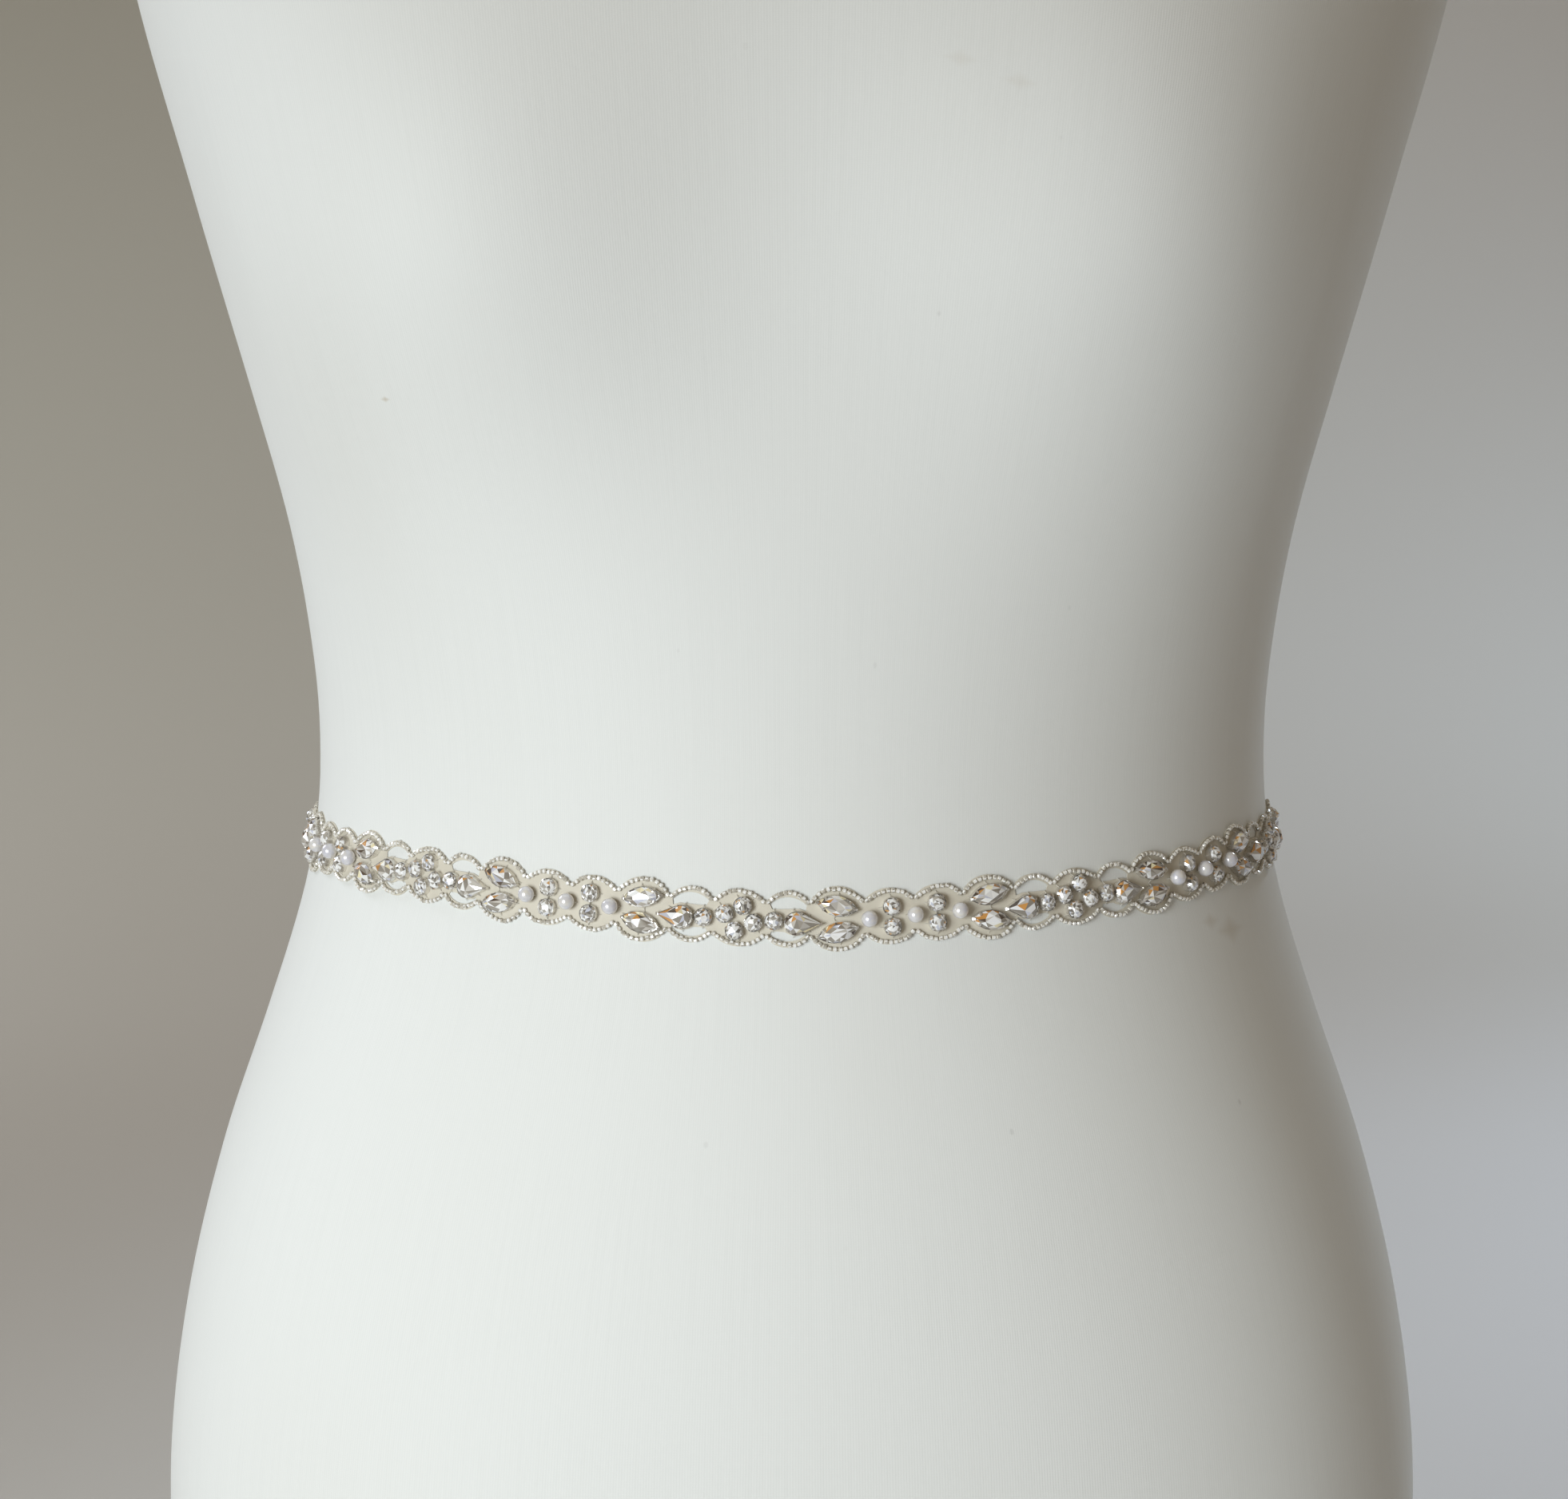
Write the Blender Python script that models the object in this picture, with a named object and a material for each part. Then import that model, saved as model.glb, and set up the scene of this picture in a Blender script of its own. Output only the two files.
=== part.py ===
"""A beaded bridal sash, closed round the waist of a plain limbless dress form.

Metres, +Z up. The origin is the centre of the form's flat base, the front faces -Y, and +X is on the right
of someone who looks at the front.

The sash is laid out flat first, as its maker does it: s runs along it from the centre front towards +X, h up
across it and t out of it, from its plain inner side. WaistPath then carries each flat point round the form.
"""

import math
import random
from collections import namedtuple

import bmesh
import bpy
from mathutils import Vector
from mathutils.geometry import delaunay_2d_cdt

MM = 0.001

# Dress form: half width, depth ahead of and behind the widest line, and how far its corners fill out.
Section = namedtuple("Section", "z half_width front back fullness")
FORM_SECTIONS = (
    Section(0.0000, 0.1610, 0.1060, 0.0930, 0.08),
    Section(0.0450, 0.1662, 0.1095, 0.0975, 0.08),
    Section(0.0850, 0.1672, 0.1115, 0.1000, 0.08),
    Section(0.1280, 0.1620, 0.1130, 0.0975, 0.07),
    Section(0.1700, 0.1518, 0.1125, 0.0885, 0.05),
    Section(0.2070, 0.1391, 0.1095, 0.0790, 0.03),
    Section(0.2330, 0.1307, 0.1065, 0.0720, 0.01),
    Section(0.2520, 0.1263, 0.1050, 0.0685, 0.00),
    Section(0.2710, 0.1244, 0.1035, 0.0670, 0.00),
    Section(0.2960, 0.1251, 0.1035, 0.0680, 0.01),
    Section(0.3330, 0.1306, 0.1060, 0.0725, 0.03),
    Section(0.3710, 0.1402, 0.1095, 0.0770, 0.05),
    Section(0.4200, 0.1538, 0.1160, 0.0835, 0.06),
    Section(0.4700, 0.1678, 0.1170, 0.0880, 0.06),
    Section(0.5300, 0.1800, 0.1080, 0.0900, 0.07),
    Section(0.5750, 0.1830, 0.0960, 0.0840, 0.08),
    Section(0.6050, 0.1765, 0.0840, 0.0735, 0.08),
    Section(0.6250, 0.1500, 0.0730, 0.0630, 0.05),
    Section(0.6400, 0.1135, 0.0650, 0.0560, 0.03),
    Section(0.6550, 0.0850, 0.0595, 0.0520, 0.00),
    Section(0.6720, 0.0660, 0.0550, 0.0490, 0.00),
    Section(0.7000, 0.0570, 0.0520, 0.0470, 0.00),
    Section(0.7450, 0.0540, 0.0510, 0.0460, 0.00),
)
FORM_TOP = FORM_SECTIONS[-1].z
FORM_EDGE = 5 * MM
FORM_EDGE_RINGS = (0.0, 0.15, 0.5, 1.0)
FORM_SEGMENTS = 48
FORM_SHARP_DEGREES = 50
RING_STEP = 24 * MM
WAIST_RING_STEP = 9 * MM
WAIST_RINGS_FROM = 0.225
WAIST_RINGS_TO = 0.288
SHOULDER_RING_STEP = 12 * MM
SHOULDER_RINGS_FROM = 0.590
SHOULDER_RINGS_TO = 0.680
BUST_X = 0.094
BUST_Z = 0.415
BUST_RISE = 33 * MM
BUST_REACH_ACROSS = 48 * MM
BUST_REACH_UP = 55 * MM
BUST_REACH_DOWN = 45 * MM
BUST_FULL_FROM = 0.5

# Where the sash lies: a little below the narrowest waist and lowest in front. Turns are from the front to +X.
Course = namedtuple("Course", "degrees z")
SASH_COURSE = (
    Course(-180, 0.2550),
    Course(-125, 0.2547),
    Course(-90, 0.2535),
    Course(-63, 0.2541),
    Course(-45, 0.2536),
    Course(-23, 0.2508),
    Course(0, 0.2482),
    Course(23, 0.2500),
    Course(45, 0.2520),
    Course(63, 0.2542),
    Course(90, 0.2539),
    Course(125, 0.2547),
    Course(180, 0.2550),
)
SASH_GAP = 0.7 * MM
SASH_WALL = 1.0 * MM
PATH_STEPS = 720
SLOPE_STEP = 0.002

# The trim's repeat. Each cell has one scallop above and one below; heights are from the trim's centre line.
Cell = namedtuple("Cell", "kind width crest")
CELLS = (
    Cell("flower", 12.9 * MM, 6.40 * MM),
    Cell("drop", 10.6 * MM, 6.30 * MM),
    Cell("leaf", 13.2 * MM, 7.35 * MM),
    Cell("pair", 12.2 * MM, 6.30 * MM),
    Cell("pair", 12.2 * MM, 6.30 * MM),
    Cell("leaf", 13.2 * MM, 7.35 * MM),
    Cell("drop", 10.6 * MM, 6.30 * MM),
)
REPEAT_WIDTH = sum(cell.width for cell in CELLS)
REPEATS = 8
BEAD_VALLEY = 3.5 * MM
NET_MARGIN = 1.2 * MM
SCALLOP_STEPS = 5
CLEAR_OF_CUT = 1.0 * MM
FLOWER_CENTRE = -13.1 * MM
FLOWER_STONES = 4
FLOWER_HALF_LENGTH = 3.65 * MM
FLOWER_HALF_HEIGHT = 3.2 * MM
FLOWER_TURN = math.radians(-15)
FLOWER_STONE_TURN = math.radians(30)

# Stones of half a repeat, at the distance u from the middle of the flower; the other half mirrors them.
Setting = namedtuple("Setting", "kind u h turn")
HALF_REPEAT = (
    Setting("chaton", 8.5 * MM, -0.3 * MM, 0.0),
    Setting("teardrop", 13.8 * MM, -0.8 * MM, 0.0),
    Setting("marquise", 23.65 * MM, 3.15 * MM, math.radians(-12)),
    Setting("marquise", 23.65 * MM, -3.15 * MM, math.radians(12)),
    Setting("pearl", 31.4 * MM, 0.0, 0.0),
    Setting("chaton", 36.95 * MM, 2.5 * MM, 0.0),
    Setting("chaton", 36.95 * MM, -2.5 * MM, 0.0),
)
HAND_SEED = 7
HAND_SHIFT = 0.10 * MM
HAND_TURN = math.radians(4)

# Stones: outline sizes, and the (height, scale) steps that raise each one from the trim's outer face.
MARQUISE_LENGTH = 10.0 * MM
MARQUISE_WIDTH = 5.0 * MM
MARQUISE_SHOULDER = 1.8 * MM
CHATON_RADIUS = 2.2 * MM
PEARL_RADIUS = 2.0 * MM
ROUND_STONE_SIDES = 6
TEARDROP_RADIUS = 2.9 * MM
TEARDROP_POINT = 6.1 * MM
TEARDROP_SIDES = 5
STONE_STEPS = {
    "marquise": ((1.3 * MM, 1.0), (2.7 * MM, 0.55)),
    "teardrop": ((1.4 * MM, 1.0), (2.9 * MM, 0.55)),
    "chaton": ((1.5 * MM, 1.0), (2.8 * MM, 0.58)),
    "pearl": ((2.2 * MM, 1.0), (3.7 * MM, 0.50)),
}

# Cutwork windows of a drop cell: the net's inner edge runs below the beads and clear of the stones.
WINDOW_INSET = 1.15 * MM
Window = namedtuple("Window", "side bead_edge stone_edge")
WINDOWS = (
    Window(
        1,
        (7.4 * MM, 9.0 * MM, 11.0 * MM, 13.2 * MM, 15.2 * MM, 16.4 * MM),
        ((16.2 * MM, 2.0 * MM), (14.6 * MM, 2.55 * MM), (10.6 * MM, 2.45 * MM), (8.0 * MM, 2.4 * MM)),
    ),
    Window(
        -1,
        (7.5 * MM, 8.9 * MM, 10.4 * MM, 12.0 * MM),
        ((11.6 * MM, 3.6 * MM), (10.6 * MM, 2.95 * MM), (8.0 * MM, 2.95 * MM)),
    ),
)

# Joins: each cut is named by the flower it is counted from and its distance u from that flower's middle.
# The side cuts run between a flower and a drop; the ends at the back, after a drop and before a pair.
PIECE_GAP = 0.3 * MM
POINT_MERGE = 1e-7
Cut = namedtuple("Cut", "flower u")
LEFT_SIDE = Cut(-2, 6.05 * MM)
RIGHT_SIDE = Cut(2, 6.05 * MM)
LEFT_END = Cut(-4, 29.05 * MM)
RIGHT_END = Cut(4, -6.05 * MM)

# Closure at the centre back: two satin tabs that overlap, with a sewn snap between them.
TAB_HALF_WIDTH = 4.4 * MM
TAB_THICK = 1.0 * MM
TAB_OVERLAP = 18.0 * MM
TAB_STEP = 3.0 * MM
TAB_RAMP = 11.0 * MM
SNAP_SIDES = 16
SNAP_RADIUS = 3.5 * MM
SOCKET_THICK = 1.1 * MM
SOCKET_HOLE_RADIUS = 1.3 * MM
SOCKET_HOLE_DEPTH = 0.8 * MM
STUD_PLATE = 0.5 * MM
STUD_RADIUS = 0.95 * MM
STUD_LENGTH = 0.75 * MM
UPPER_TAB_LIFT = TAB_THICK + SOCKET_THICK + STUD_PLATE + 3 * PIECE_GAP


def smooth_between(rows, key):
    """The row of a table at a value of its first column, on a smooth curve through its rows."""
    key = min(max(key, rows[0][0]), rows[-1][0])
    low = max(i for i in range(len(rows) - 1) if rows[i][0] <= key)
    before, start = rows[max(low - 1, 0)], rows[low]
    end, after = rows[low + 1], rows[min(low + 2, len(rows) - 1)]
    span = end[0] - start[0]
    f = (key - start[0]) / span
    values = []
    for a, b, c, d in zip(before, start, end, after):
        slope_start = (c - a) / (end[0] - before[0]) * span
        slope_end = (d - b) / (after[0] - start[0]) * span
        values.append(
            (2 * f**3 - 3 * f**2 + 1) * b
            + (f**3 - 2 * f**2 + f) * slope_start
            + (3 * f**2 - 2 * f**3) * c
            + (f**3 - f**2) * slope_end
        )
    return type(start)(*values)


def edge_inset(z):
    """How far the form draws in at the rounded edges of its base and of its neck's top."""
    depth = max(FORM_EDGE - min(z, FORM_TOP - z), 0.0)
    return FORM_EDGE - math.sqrt(FORM_EDGE**2 - depth**2)


def bust_rise(x, z):
    """How far the form's front stands out at a point for its two low mounds."""
    reach_z = BUST_REACH_UP if z > BUST_Z else BUST_REACH_DOWN
    rise = 0.0
    for centre in (-BUST_X, BUST_X):
        across = (x - centre) / BUST_REACH_ACROSS
        up = (z - BUST_Z) / reach_z
        rise += BUST_RISE * math.exp(-0.5 * (across**2 + up**2))
    return rise


def form_point(angle, z):
    """The form's surface at a height, by the angle from the centre front towards +X."""
    row = smooth_between(FORM_SECTIONS, z)
    across, ahead = math.sin(angle), math.cos(angle)
    inset = edge_inset(z)
    x = (row.half_width - inset) * across * (1 + row.fullness * ahead**2)
    depth = (row.front if ahead > 0 else row.back) - inset
    y = -depth * ahead * (1 + row.fullness * across**2)
    if ahead > 0:
        y -= bust_rise(x, z) * min(1.0, ahead / BUST_FULL_FROM)
    return Vector((x, y, z))


class WaistPath:
    """The sash's middle line round the form, by the length s from the centre front towards +X."""

    def __init__(self):
        self.angles = [math.tau * i / PATH_STEPS for i in range(PATH_STEPS + 1)]
        points = [self.middle(angle)[0] for angle in self.angles]
        self.lengths = [0.0]
        for start, end in zip(points, points[1:]):
            self.lengths.append(self.lengths[-1] + (end - start).length)
        self.length = self.lengths[-1]

    @staticmethod
    def surface(angle):
        """The point of the form under the sash's centre line."""
        degrees = math.degrees((angle + math.pi) % math.tau - math.pi)
        return form_point(angle, smooth_between(SASH_COURSE, degrees).z)

    @classmethod
    def middle(cls, angle):
        """The middle of the sash's wall at an angle, and the direction out of the form there."""
        on_form = cls.surface(angle)
        z = on_form.z
        around = form_point(angle + SLOPE_STEP, z) - form_point(angle - SLOPE_STEP, z)
        upward = form_point(angle, z + SLOPE_STEP) - form_point(angle, z - SLOPE_STEP)
        out = around.cross(upward).normalized()
        return on_form + (SASH_GAP + SASH_WALL / 2) * out, out

    def angle_at(self, s):
        """The angle round the form at the length s."""
        s %= self.length
        low, high = 0, PATH_STEPS
        while high - low > 1:
            half = (low + high) // 2
            if self.lengths[half] <= s:
                low = half
            else:
                high = half
        part = (s - self.lengths[low]) / (self.lengths[high] - self.lengths[low])
        return self.angles[low] + part * (self.angles[high] - self.angles[low])

    def place(self, s, h, t):
        """The point of space of the flat point (s, h, t)."""
        angle = self.angle_at(s)
        step = math.tau / PATH_STEPS
        middle, out = self.middle(angle)
        along = (self.middle(angle + step)[0] - self.middle(angle - step)[0]).normalized()
        up = out.cross(along)
        return middle + h * up + (t - SASH_WALL / 2) * out


class Trim:
    """The flat layout of the beaded trim: its cells, scalloped edge, windows and stones."""

    def __init__(self, length):
        self.repeat = length / REPEATS
        self.stretch = self.repeat / REPEAT_WIDTH

    def flower(self, number):
        """The length s of the middle of a flower cell, counted from the one near the centre front."""
        return FLOWER_CENTRE + number * self.repeat

    def along(self, number, u):
        """The length s of a place at the nominal distance u from the middle of a flower."""
        return self.flower(number) + u * self.stretch

    def cells(self, number):
        """(cell, start, end) of each cell of a repeat, in order along s."""
        start = self.along(number, -CELLS[0].width / 2)
        for cell in CELLS:
            end = start + cell.width * self.stretch
            yield cell, start, end
            start = end

    def bead_line(self, cell, part):
        """Height of the line of edge beads at a part, 0 to 1, of a cell: one arc of a circle."""
        half = cell.width / 2
        rise = cell.crest - BEAD_VALLEY
        radius = (half**2 + rise**2) / (2 * rise)
        return cell.crest - radius + math.sqrt(radius**2 - (half * (2 * part - 1)) ** 2)

    def edge(self, start, end):
        """(s, h) of the upper scalloped edge of the net between two cuts."""
        points = []
        for number in range(-REPEATS, REPEATS + 1):
            for cell, cell_start, cell_end in self.cells(number):
                for i in range(SCALLOP_STEPS):
                    s = cell_start + (cell_end - cell_start) * i / SCALLOP_STEPS
                    points.append((s, self.bead_line(cell, i / SCALLOP_STEPS) + NET_MARGIN))
        between = [p for p in points if start + CLEAR_OF_CUT < p[0] < end - CLEAR_OF_CUT]
        ends = []
        for cut in (start, end):
            below = max(p for p in points if p[0] <= cut)
            above = min(p for p in points if p[0] > cut)
            part = (cut - below[0]) / (above[0] - below[0])
            ends.append((cut, below[1] + part * (above[1] - below[1])))
        return [ends[0], *between, ends[1]]

    def windows(self, start, end):
        """Outline of each cutwork window between two cuts, clockwise."""
        drop = CELLS[1]
        drop_start = CELLS[0].width / 2
        for number in range(-REPEATS, REPEATS + 1):
            for hand in (-1, 1):
                for window in WINDOWS:
                    loop = []
                    for u in window.bead_edge:
                        part = (u - drop_start) / drop.width
                        loop.append((u, self.bead_line(drop, part) - WINDOW_INSET))
                    loop.extend(window.stone_edge)
                    loop = [(self.along(number, hand * u), window.side * h) for u, h in loop]
                    if hand * window.side < 0:
                        loop.reverse()
                    if start < loop[0][0] < end:
                        yield loop

    def stones(self):
        """(kind, s, h, turn) of each stone, set by hand and so a little uneven."""
        hand_work = random.Random(HAND_SEED)
        for number in range(-REPEATS // 2, REPEATS // 2 + 1):
            settings = []
            for i in range(FLOWER_STONES):
                angle = i * math.tau / FLOWER_STONES
                x, y = FLOWER_HALF_LENGTH * math.cos(angle), FLOWER_HALF_HEIGHT * math.sin(angle)
                u = x * math.cos(FLOWER_TURN) - y * math.sin(FLOWER_TURN)
                h = x * math.sin(FLOWER_TURN) + y * math.cos(FLOWER_TURN)
                settings.append(Setting("chaton", u, h, FLOWER_STONE_TURN))
            for hand in (1, -1):
                for item in HALF_REPEAT:
                    turn = item.turn if hand > 0 else math.pi - item.turn
                    settings.append(Setting(item.kind, hand * item.u, item.h, turn))
            settings.append(Setting("pearl", REPEAT_WIDTH / 2, 0.0, 0.0))
            for kind, u, h, turn in settings:
                s = self.along(number, u) + hand_work.uniform(-HAND_SHIFT, HAND_SHIFT)
                h += hand_work.uniform(-HAND_SHIFT, HAND_SHIFT)
                yield kind, s, h, turn + hand_work.uniform(-HAND_TURN, HAND_TURN)


def stone_outline(kind):
    """A stone's outline about its own centre, counter-clockwise; a teardrop's is its round end's centre."""
    if kind == "marquise":
        half, side = MARQUISE_LENGTH / 2, MARQUISE_WIDTH / 2
        radius = (half**2 + side**2) / (2 * side)
        bulge = math.sqrt(radius**2 - MARQUISE_SHOULDER**2) - (radius - side)
        upper = [(MARQUISE_SHOULDER, bulge), (-MARQUISE_SHOULDER, bulge)]
        return [(half, 0.0), *upper, (-half, 0.0), *((-x, -y) for x, y in upper)]
    if kind == "teardrop":
        touch = math.acos(TEARDROP_RADIUS / TEARDROP_POINT)
        step = (math.tau - 2 * touch) / TEARDROP_SIDES
        turns = [touch + step * i for i in range(TEARDROP_SIDES + 1)]
        return [(TEARDROP_POINT, 0.0)] + [
            (TEARDROP_RADIUS * math.cos(a), TEARDROP_RADIUS * math.sin(a)) for a in turns
        ]
    radius = CHATON_RADIUS if kind == "chaton" else PEARL_RADIUS
    turns = [math.tau * i / ROUND_STONE_SIDES for i in range(ROUND_STONE_SIDES)]
    return [(radius * math.cos(a), radius * math.sin(a)) for a in turns]


def placed_outline(stone):
    """A stone's outline where it lies on the flat trim."""
    kind, s, h, turn = stone
    cos, sin = math.cos(turn), math.sin(turn)
    return [(s + x * cos - y * sin, h + x * sin + y * cos) for x, y in stone_outline(kind)]


def inside(loop, x, y):
    """Whether a point is inside a closed outline."""
    found = False
    for (x1, y1), (x2, y2) in zip(loop, loop[1:] + loop[:1]):
        if (y1 > y) != (y2 > y) and x < x1 + (y - y1) * (x2 - x1) / (y2 - y1):
            found = not found
    return found


def triangles_between(loops):
    """Triangles over the plane that keep every edge of the closed loops, as indices of their points."""
    points = [point for loop in loops for point in loop]
    edges = []
    first = 0
    for loop in loops:
        count = len(loop)
        edges.extend((first + i, first + (i + 1) % count) for i in range(count))
        first += count
    made = delaunay_2d_cdt([Vector(p) for p in points], edges, [], 0, POINT_MERGE)
    source = [ids[0] for ids in made[3]]
    return points, [[source[i] for i in face] for face in made[2]]


def middle_of(points, face):
    """The centre of a triangle."""
    return tuple(sum(points[i][axis] for i in face) / 3 for axis in (0, 1))


def material(name, colour, roughness, metallic=0.0):
    """A plain Principled material."""
    made = bpy.data.materials.new(name)
    made.use_nodes = True
    shader = made.node_tree.nodes["Principled BSDF"]
    shader.inputs["Base Color"].default_value = (*colour, 1.0)
    shader.inputs["Roughness"].default_value = roughness
    shader.inputs["Metallic"].default_value = metallic
    made.diffuse_color = (*colour, 1.0)
    return made


def finished(name, bm, surface, sharp_degrees=35):
    """The object of a built mesh, smooth except along edges sharper than an angle."""
    mesh = bpy.data.meshes.new(name)
    bm.to_mesh(mesh)
    bm.free()
    mesh.shade_smooth()
    mesh.set_sharp_from_angle(angle=math.radians(sharp_degrees))
    mesh.materials.append(surface)
    obj = bpy.data.objects.new(name, mesh)
    bpy.context.scene.collection.objects.link(obj)
    return obj


def loft(rings):
    """A closed mesh through rings of equally many points, with a flat cap at each end."""
    bm = bmesh.new()
    loops = [[bm.verts.new(point) for point in ring] for ring in rings]
    for lower, upper in zip(loops, loops[1:]):
        for i in range(len(lower)):
            j = (i + 1) % len(lower)
            bm.faces.new((lower[i], lower[j], upper[j], upper[i]))
    bm.faces.new(loops[0])
    bm.faces.new(loops[-1])
    bmesh.ops.recalc_face_normals(bm, faces=bm.faces)
    return bm


def ring_heights():
    """Heights of the form's rings: close at its two rounded edges, the waist and the shoulders."""
    heights = [FORM_EDGE * part for part in FORM_EDGE_RINGS]
    while heights[-1] < FORM_TOP - FORM_EDGE - WAIST_RING_STEP:
        z = heights[-1]
        step = RING_STEP
        if WAIST_RINGS_FROM < z < WAIST_RINGS_TO:
            step = WAIST_RING_STEP
        if SHOULDER_RINGS_FROM < z < SHOULDER_RINGS_TO:
            step = SHOULDER_RING_STEP
        heights.append(min(z + step, FORM_TOP - FORM_EDGE))
    return heights + [FORM_TOP - FORM_EDGE * part for part in FORM_EDGE_RINGS[-2::-1]]


def make_dress_form():
    """The limbless torso, standing on its flat base."""
    turns = [math.tau * i / FORM_SEGMENTS for i in range(FORM_SEGMENTS)]
    rings = [[form_point(angle, z) for angle in turns] for z in ring_heights()]
    jersey = material("jersey", (0.76, 0.77, 0.74), 0.85)
    return finished("dress_form", loft(rings), jersey, FORM_SHARP_DEGREES)


def raise_stone(bm, faces, centre, steps):
    """Extrude a stone's patch of the trim's outer face outwards, through steps of height and scale."""
    scale = 1.0
    for height, new_scale in steps:
        made = bmesh.ops.extrude_face_region(bm, geom=faces)["geom"]
        bmesh.ops.delete(bm, geom=[face for face in faces if face.is_valid], context="FACES_ONLY")
        faces = [item for item in made if isinstance(item, bmesh.types.BMFace)]
        for vert in (item for item in made if isinstance(item, bmesh.types.BMVert)):
            vert.co.x = centre[0] + (vert.co.x - centre[0]) * new_scale / scale
            vert.co.y = centre[1] + (vert.co.y - centre[1]) * new_scale / scale
            vert.co.z = SASH_WALL + height
        scale = new_scale


def make_band(name, path, trim, start, end, surface):
    """One length of the trim, between two cuts: a plain inside, and stones raised in its outer points."""
    upper = trim.edge(start, end)
    outline = [(s, -h) for s, h in upper] + upper[::-1]
    cuts = [outline, *trim.windows(start, end)]
    stones = [stone for stone in trim.stones() if start < stone[1] < end]
    patches = [placed_outline(stone) for stone in stones]

    def on_net(points, face):
        x, y = middle_of(points, face)
        return inside(outline, x, y) and not any(inside(window, x, y) for window in cuts[1:])

    bm = bmesh.new()
    points, faces = triangles_between(cuts + patches)
    outer = [bm.verts.new((x, y, SASH_WALL)) for x, y in points]
    kept = []
    for face in faces:
        if on_net(points, face):
            kept.append((bm.faces.new([outer[i] for i in face]), middle_of(points, face)))
    net_points, net_faces = triangles_between(cuts)
    inner = [bm.verts.new((x, y, 0.0)) for x, y in net_points]
    for face in net_faces:
        if on_net(net_points, face):
            bm.faces.new([inner[i] for i in reversed(face)])
    first = 0
    for loop in cuts:
        for i in range(len(loop)):
            a, b = first + i, first + (i + 1) % len(loop)
            bm.faces.new((inner[a], inner[b], outer[b], outer[a]))
        first += len(loop)
    for stone, patch in zip(stones, patches):
        faces = [face for face, middle in kept if face.is_valid and inside(patch, *middle)]
        raise_stone(bm, faces, stone[1:3], STONE_STEPS[stone[0]])
    for vert in bm.verts:
        vert.co = path.place(*vert.co)
    return finished(name, bm, surface)


def make_tab(name, path, stations, surface):
    """A satin end tab through stations of (s, height of its inner side above the trim's)."""
    rings = []
    for s, lift in stations:
        corners = ((-1, 0), (1, 0), (1, 1), (-1, 1))
        rings.append([path.place(s, side * TAB_HALF_WIDTH, lift + top * TAB_THICK) for side, top in corners])
    return finished(name, loft(rings), surface)


def tab_stations(start, end, lift_at):
    """Evenly spaced stations of a tab from start to end."""
    count = math.ceil(abs(end - start) / TAB_STEP)
    lengths = [start + (end - start) * i / count for i in range(count + 1)]
    return [(s, lift_at(s)) for s in lengths]


def make_snap_half(name, path, s, profile, surface):
    """A round half of the snap, through (radius, height above the trim's inner side)."""
    centre = path.place(s, 0.0, 0.0)
    out = (path.place(s, 0.0, MM) - centre).normalized()
    up = (path.place(s, MM, 0.0) - centre).normalized()
    along = up.cross(out)
    rings = []
    for radius, height in profile:
        turns = [math.tau * i / SNAP_SIDES for i in range(SNAP_SIDES)]
        rings.append(
            [centre + radius * (math.cos(a) * along + math.sin(a) * up) + height * out for a in turns]
        )
    return finished(name, loft(rings), surface)


def make_closure(path, left_end, right_end):
    """The two overlapping tabs and the snap between them; left_end is counted on past the centre back."""
    middle = (left_end + right_end) / 2
    satin = material("satin", (0.80, 0.76, 0.66), 0.40)
    steel = material("snap_steel", (0.62, 0.62, 0.60), 0.30, 1.0)
    lower = tab_stations(right_end + PIECE_GAP, middle + TAB_OVERLAP / 2, lambda s: 0.0)
    make_tab("tab_right", path, lower, satin)

    def lift(s):
        part = min(max((left_end - PIECE_GAP - s) / TAB_RAMP, 0.0), 1.0)
        return UPPER_TAB_LIFT * part**2 * (3 - 2 * part)

    upper = tab_stations(left_end - PIECE_GAP, middle - TAB_OVERLAP / 2, lift)
    make_tab("tab_left", path, upper, satin)
    base = TAB_THICK + PIECE_GAP
    top = base + SOCKET_THICK
    floor = top - SOCKET_HOLE_DEPTH
    socket = ((SNAP_RADIUS, base), (SNAP_RADIUS, top), (SOCKET_HOLE_RADIUS, top), (SOCKET_HOLE_RADIUS, floor))
    make_snap_half("snap_socket", path, middle, socket, steel)
    plate = top + PIECE_GAP
    nose = plate - STUD_LENGTH
    back = plate + STUD_PLATE
    stud = ((STUD_RADIUS, nose), (STUD_RADIUS, plate), (SNAP_RADIUS, plate), (SNAP_RADIUS, back))
    make_snap_half("snap_stud", path, middle, stud, steel)


def main():
    """Build the form, the trim in three lengths and the closure."""
    for obj in list(bpy.data.objects):
        bpy.data.objects.remove(obj)
    make_dress_form()
    path = WaistPath()
    trim = Trim(path.length)
    left_side = trim.along(*LEFT_SIDE)
    right_side = trim.along(*RIGHT_SIDE)
    left_end = trim.along(*LEFT_END)
    right_end = trim.along(*RIGHT_END)
    half_gap = PIECE_GAP / 2
    beadwork = material("beadwork", (0.60, 0.58, 0.50), 0.30, 0.4)
    make_band("band_front", path, trim, left_side + half_gap, right_side - half_gap, beadwork)
    make_band("band_back_left", path, trim, left_end, left_side - half_gap, beadwork)
    make_band("band_back_right", path, trim, right_side + half_gap, right_end, beadwork)
    make_closure(path, left_end + path.length, right_end)


main()
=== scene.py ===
"""The looks of a beaded bridal sash, closed round the waist of a limbless dress form.

Metres, +Z up, the front faces -Y. The sash is laid out flat first, as its maker does it: s runs along it from
the centre front towards +X, h up across it and t out of it. WaistPath carries each flat point round the form.
"""

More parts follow.
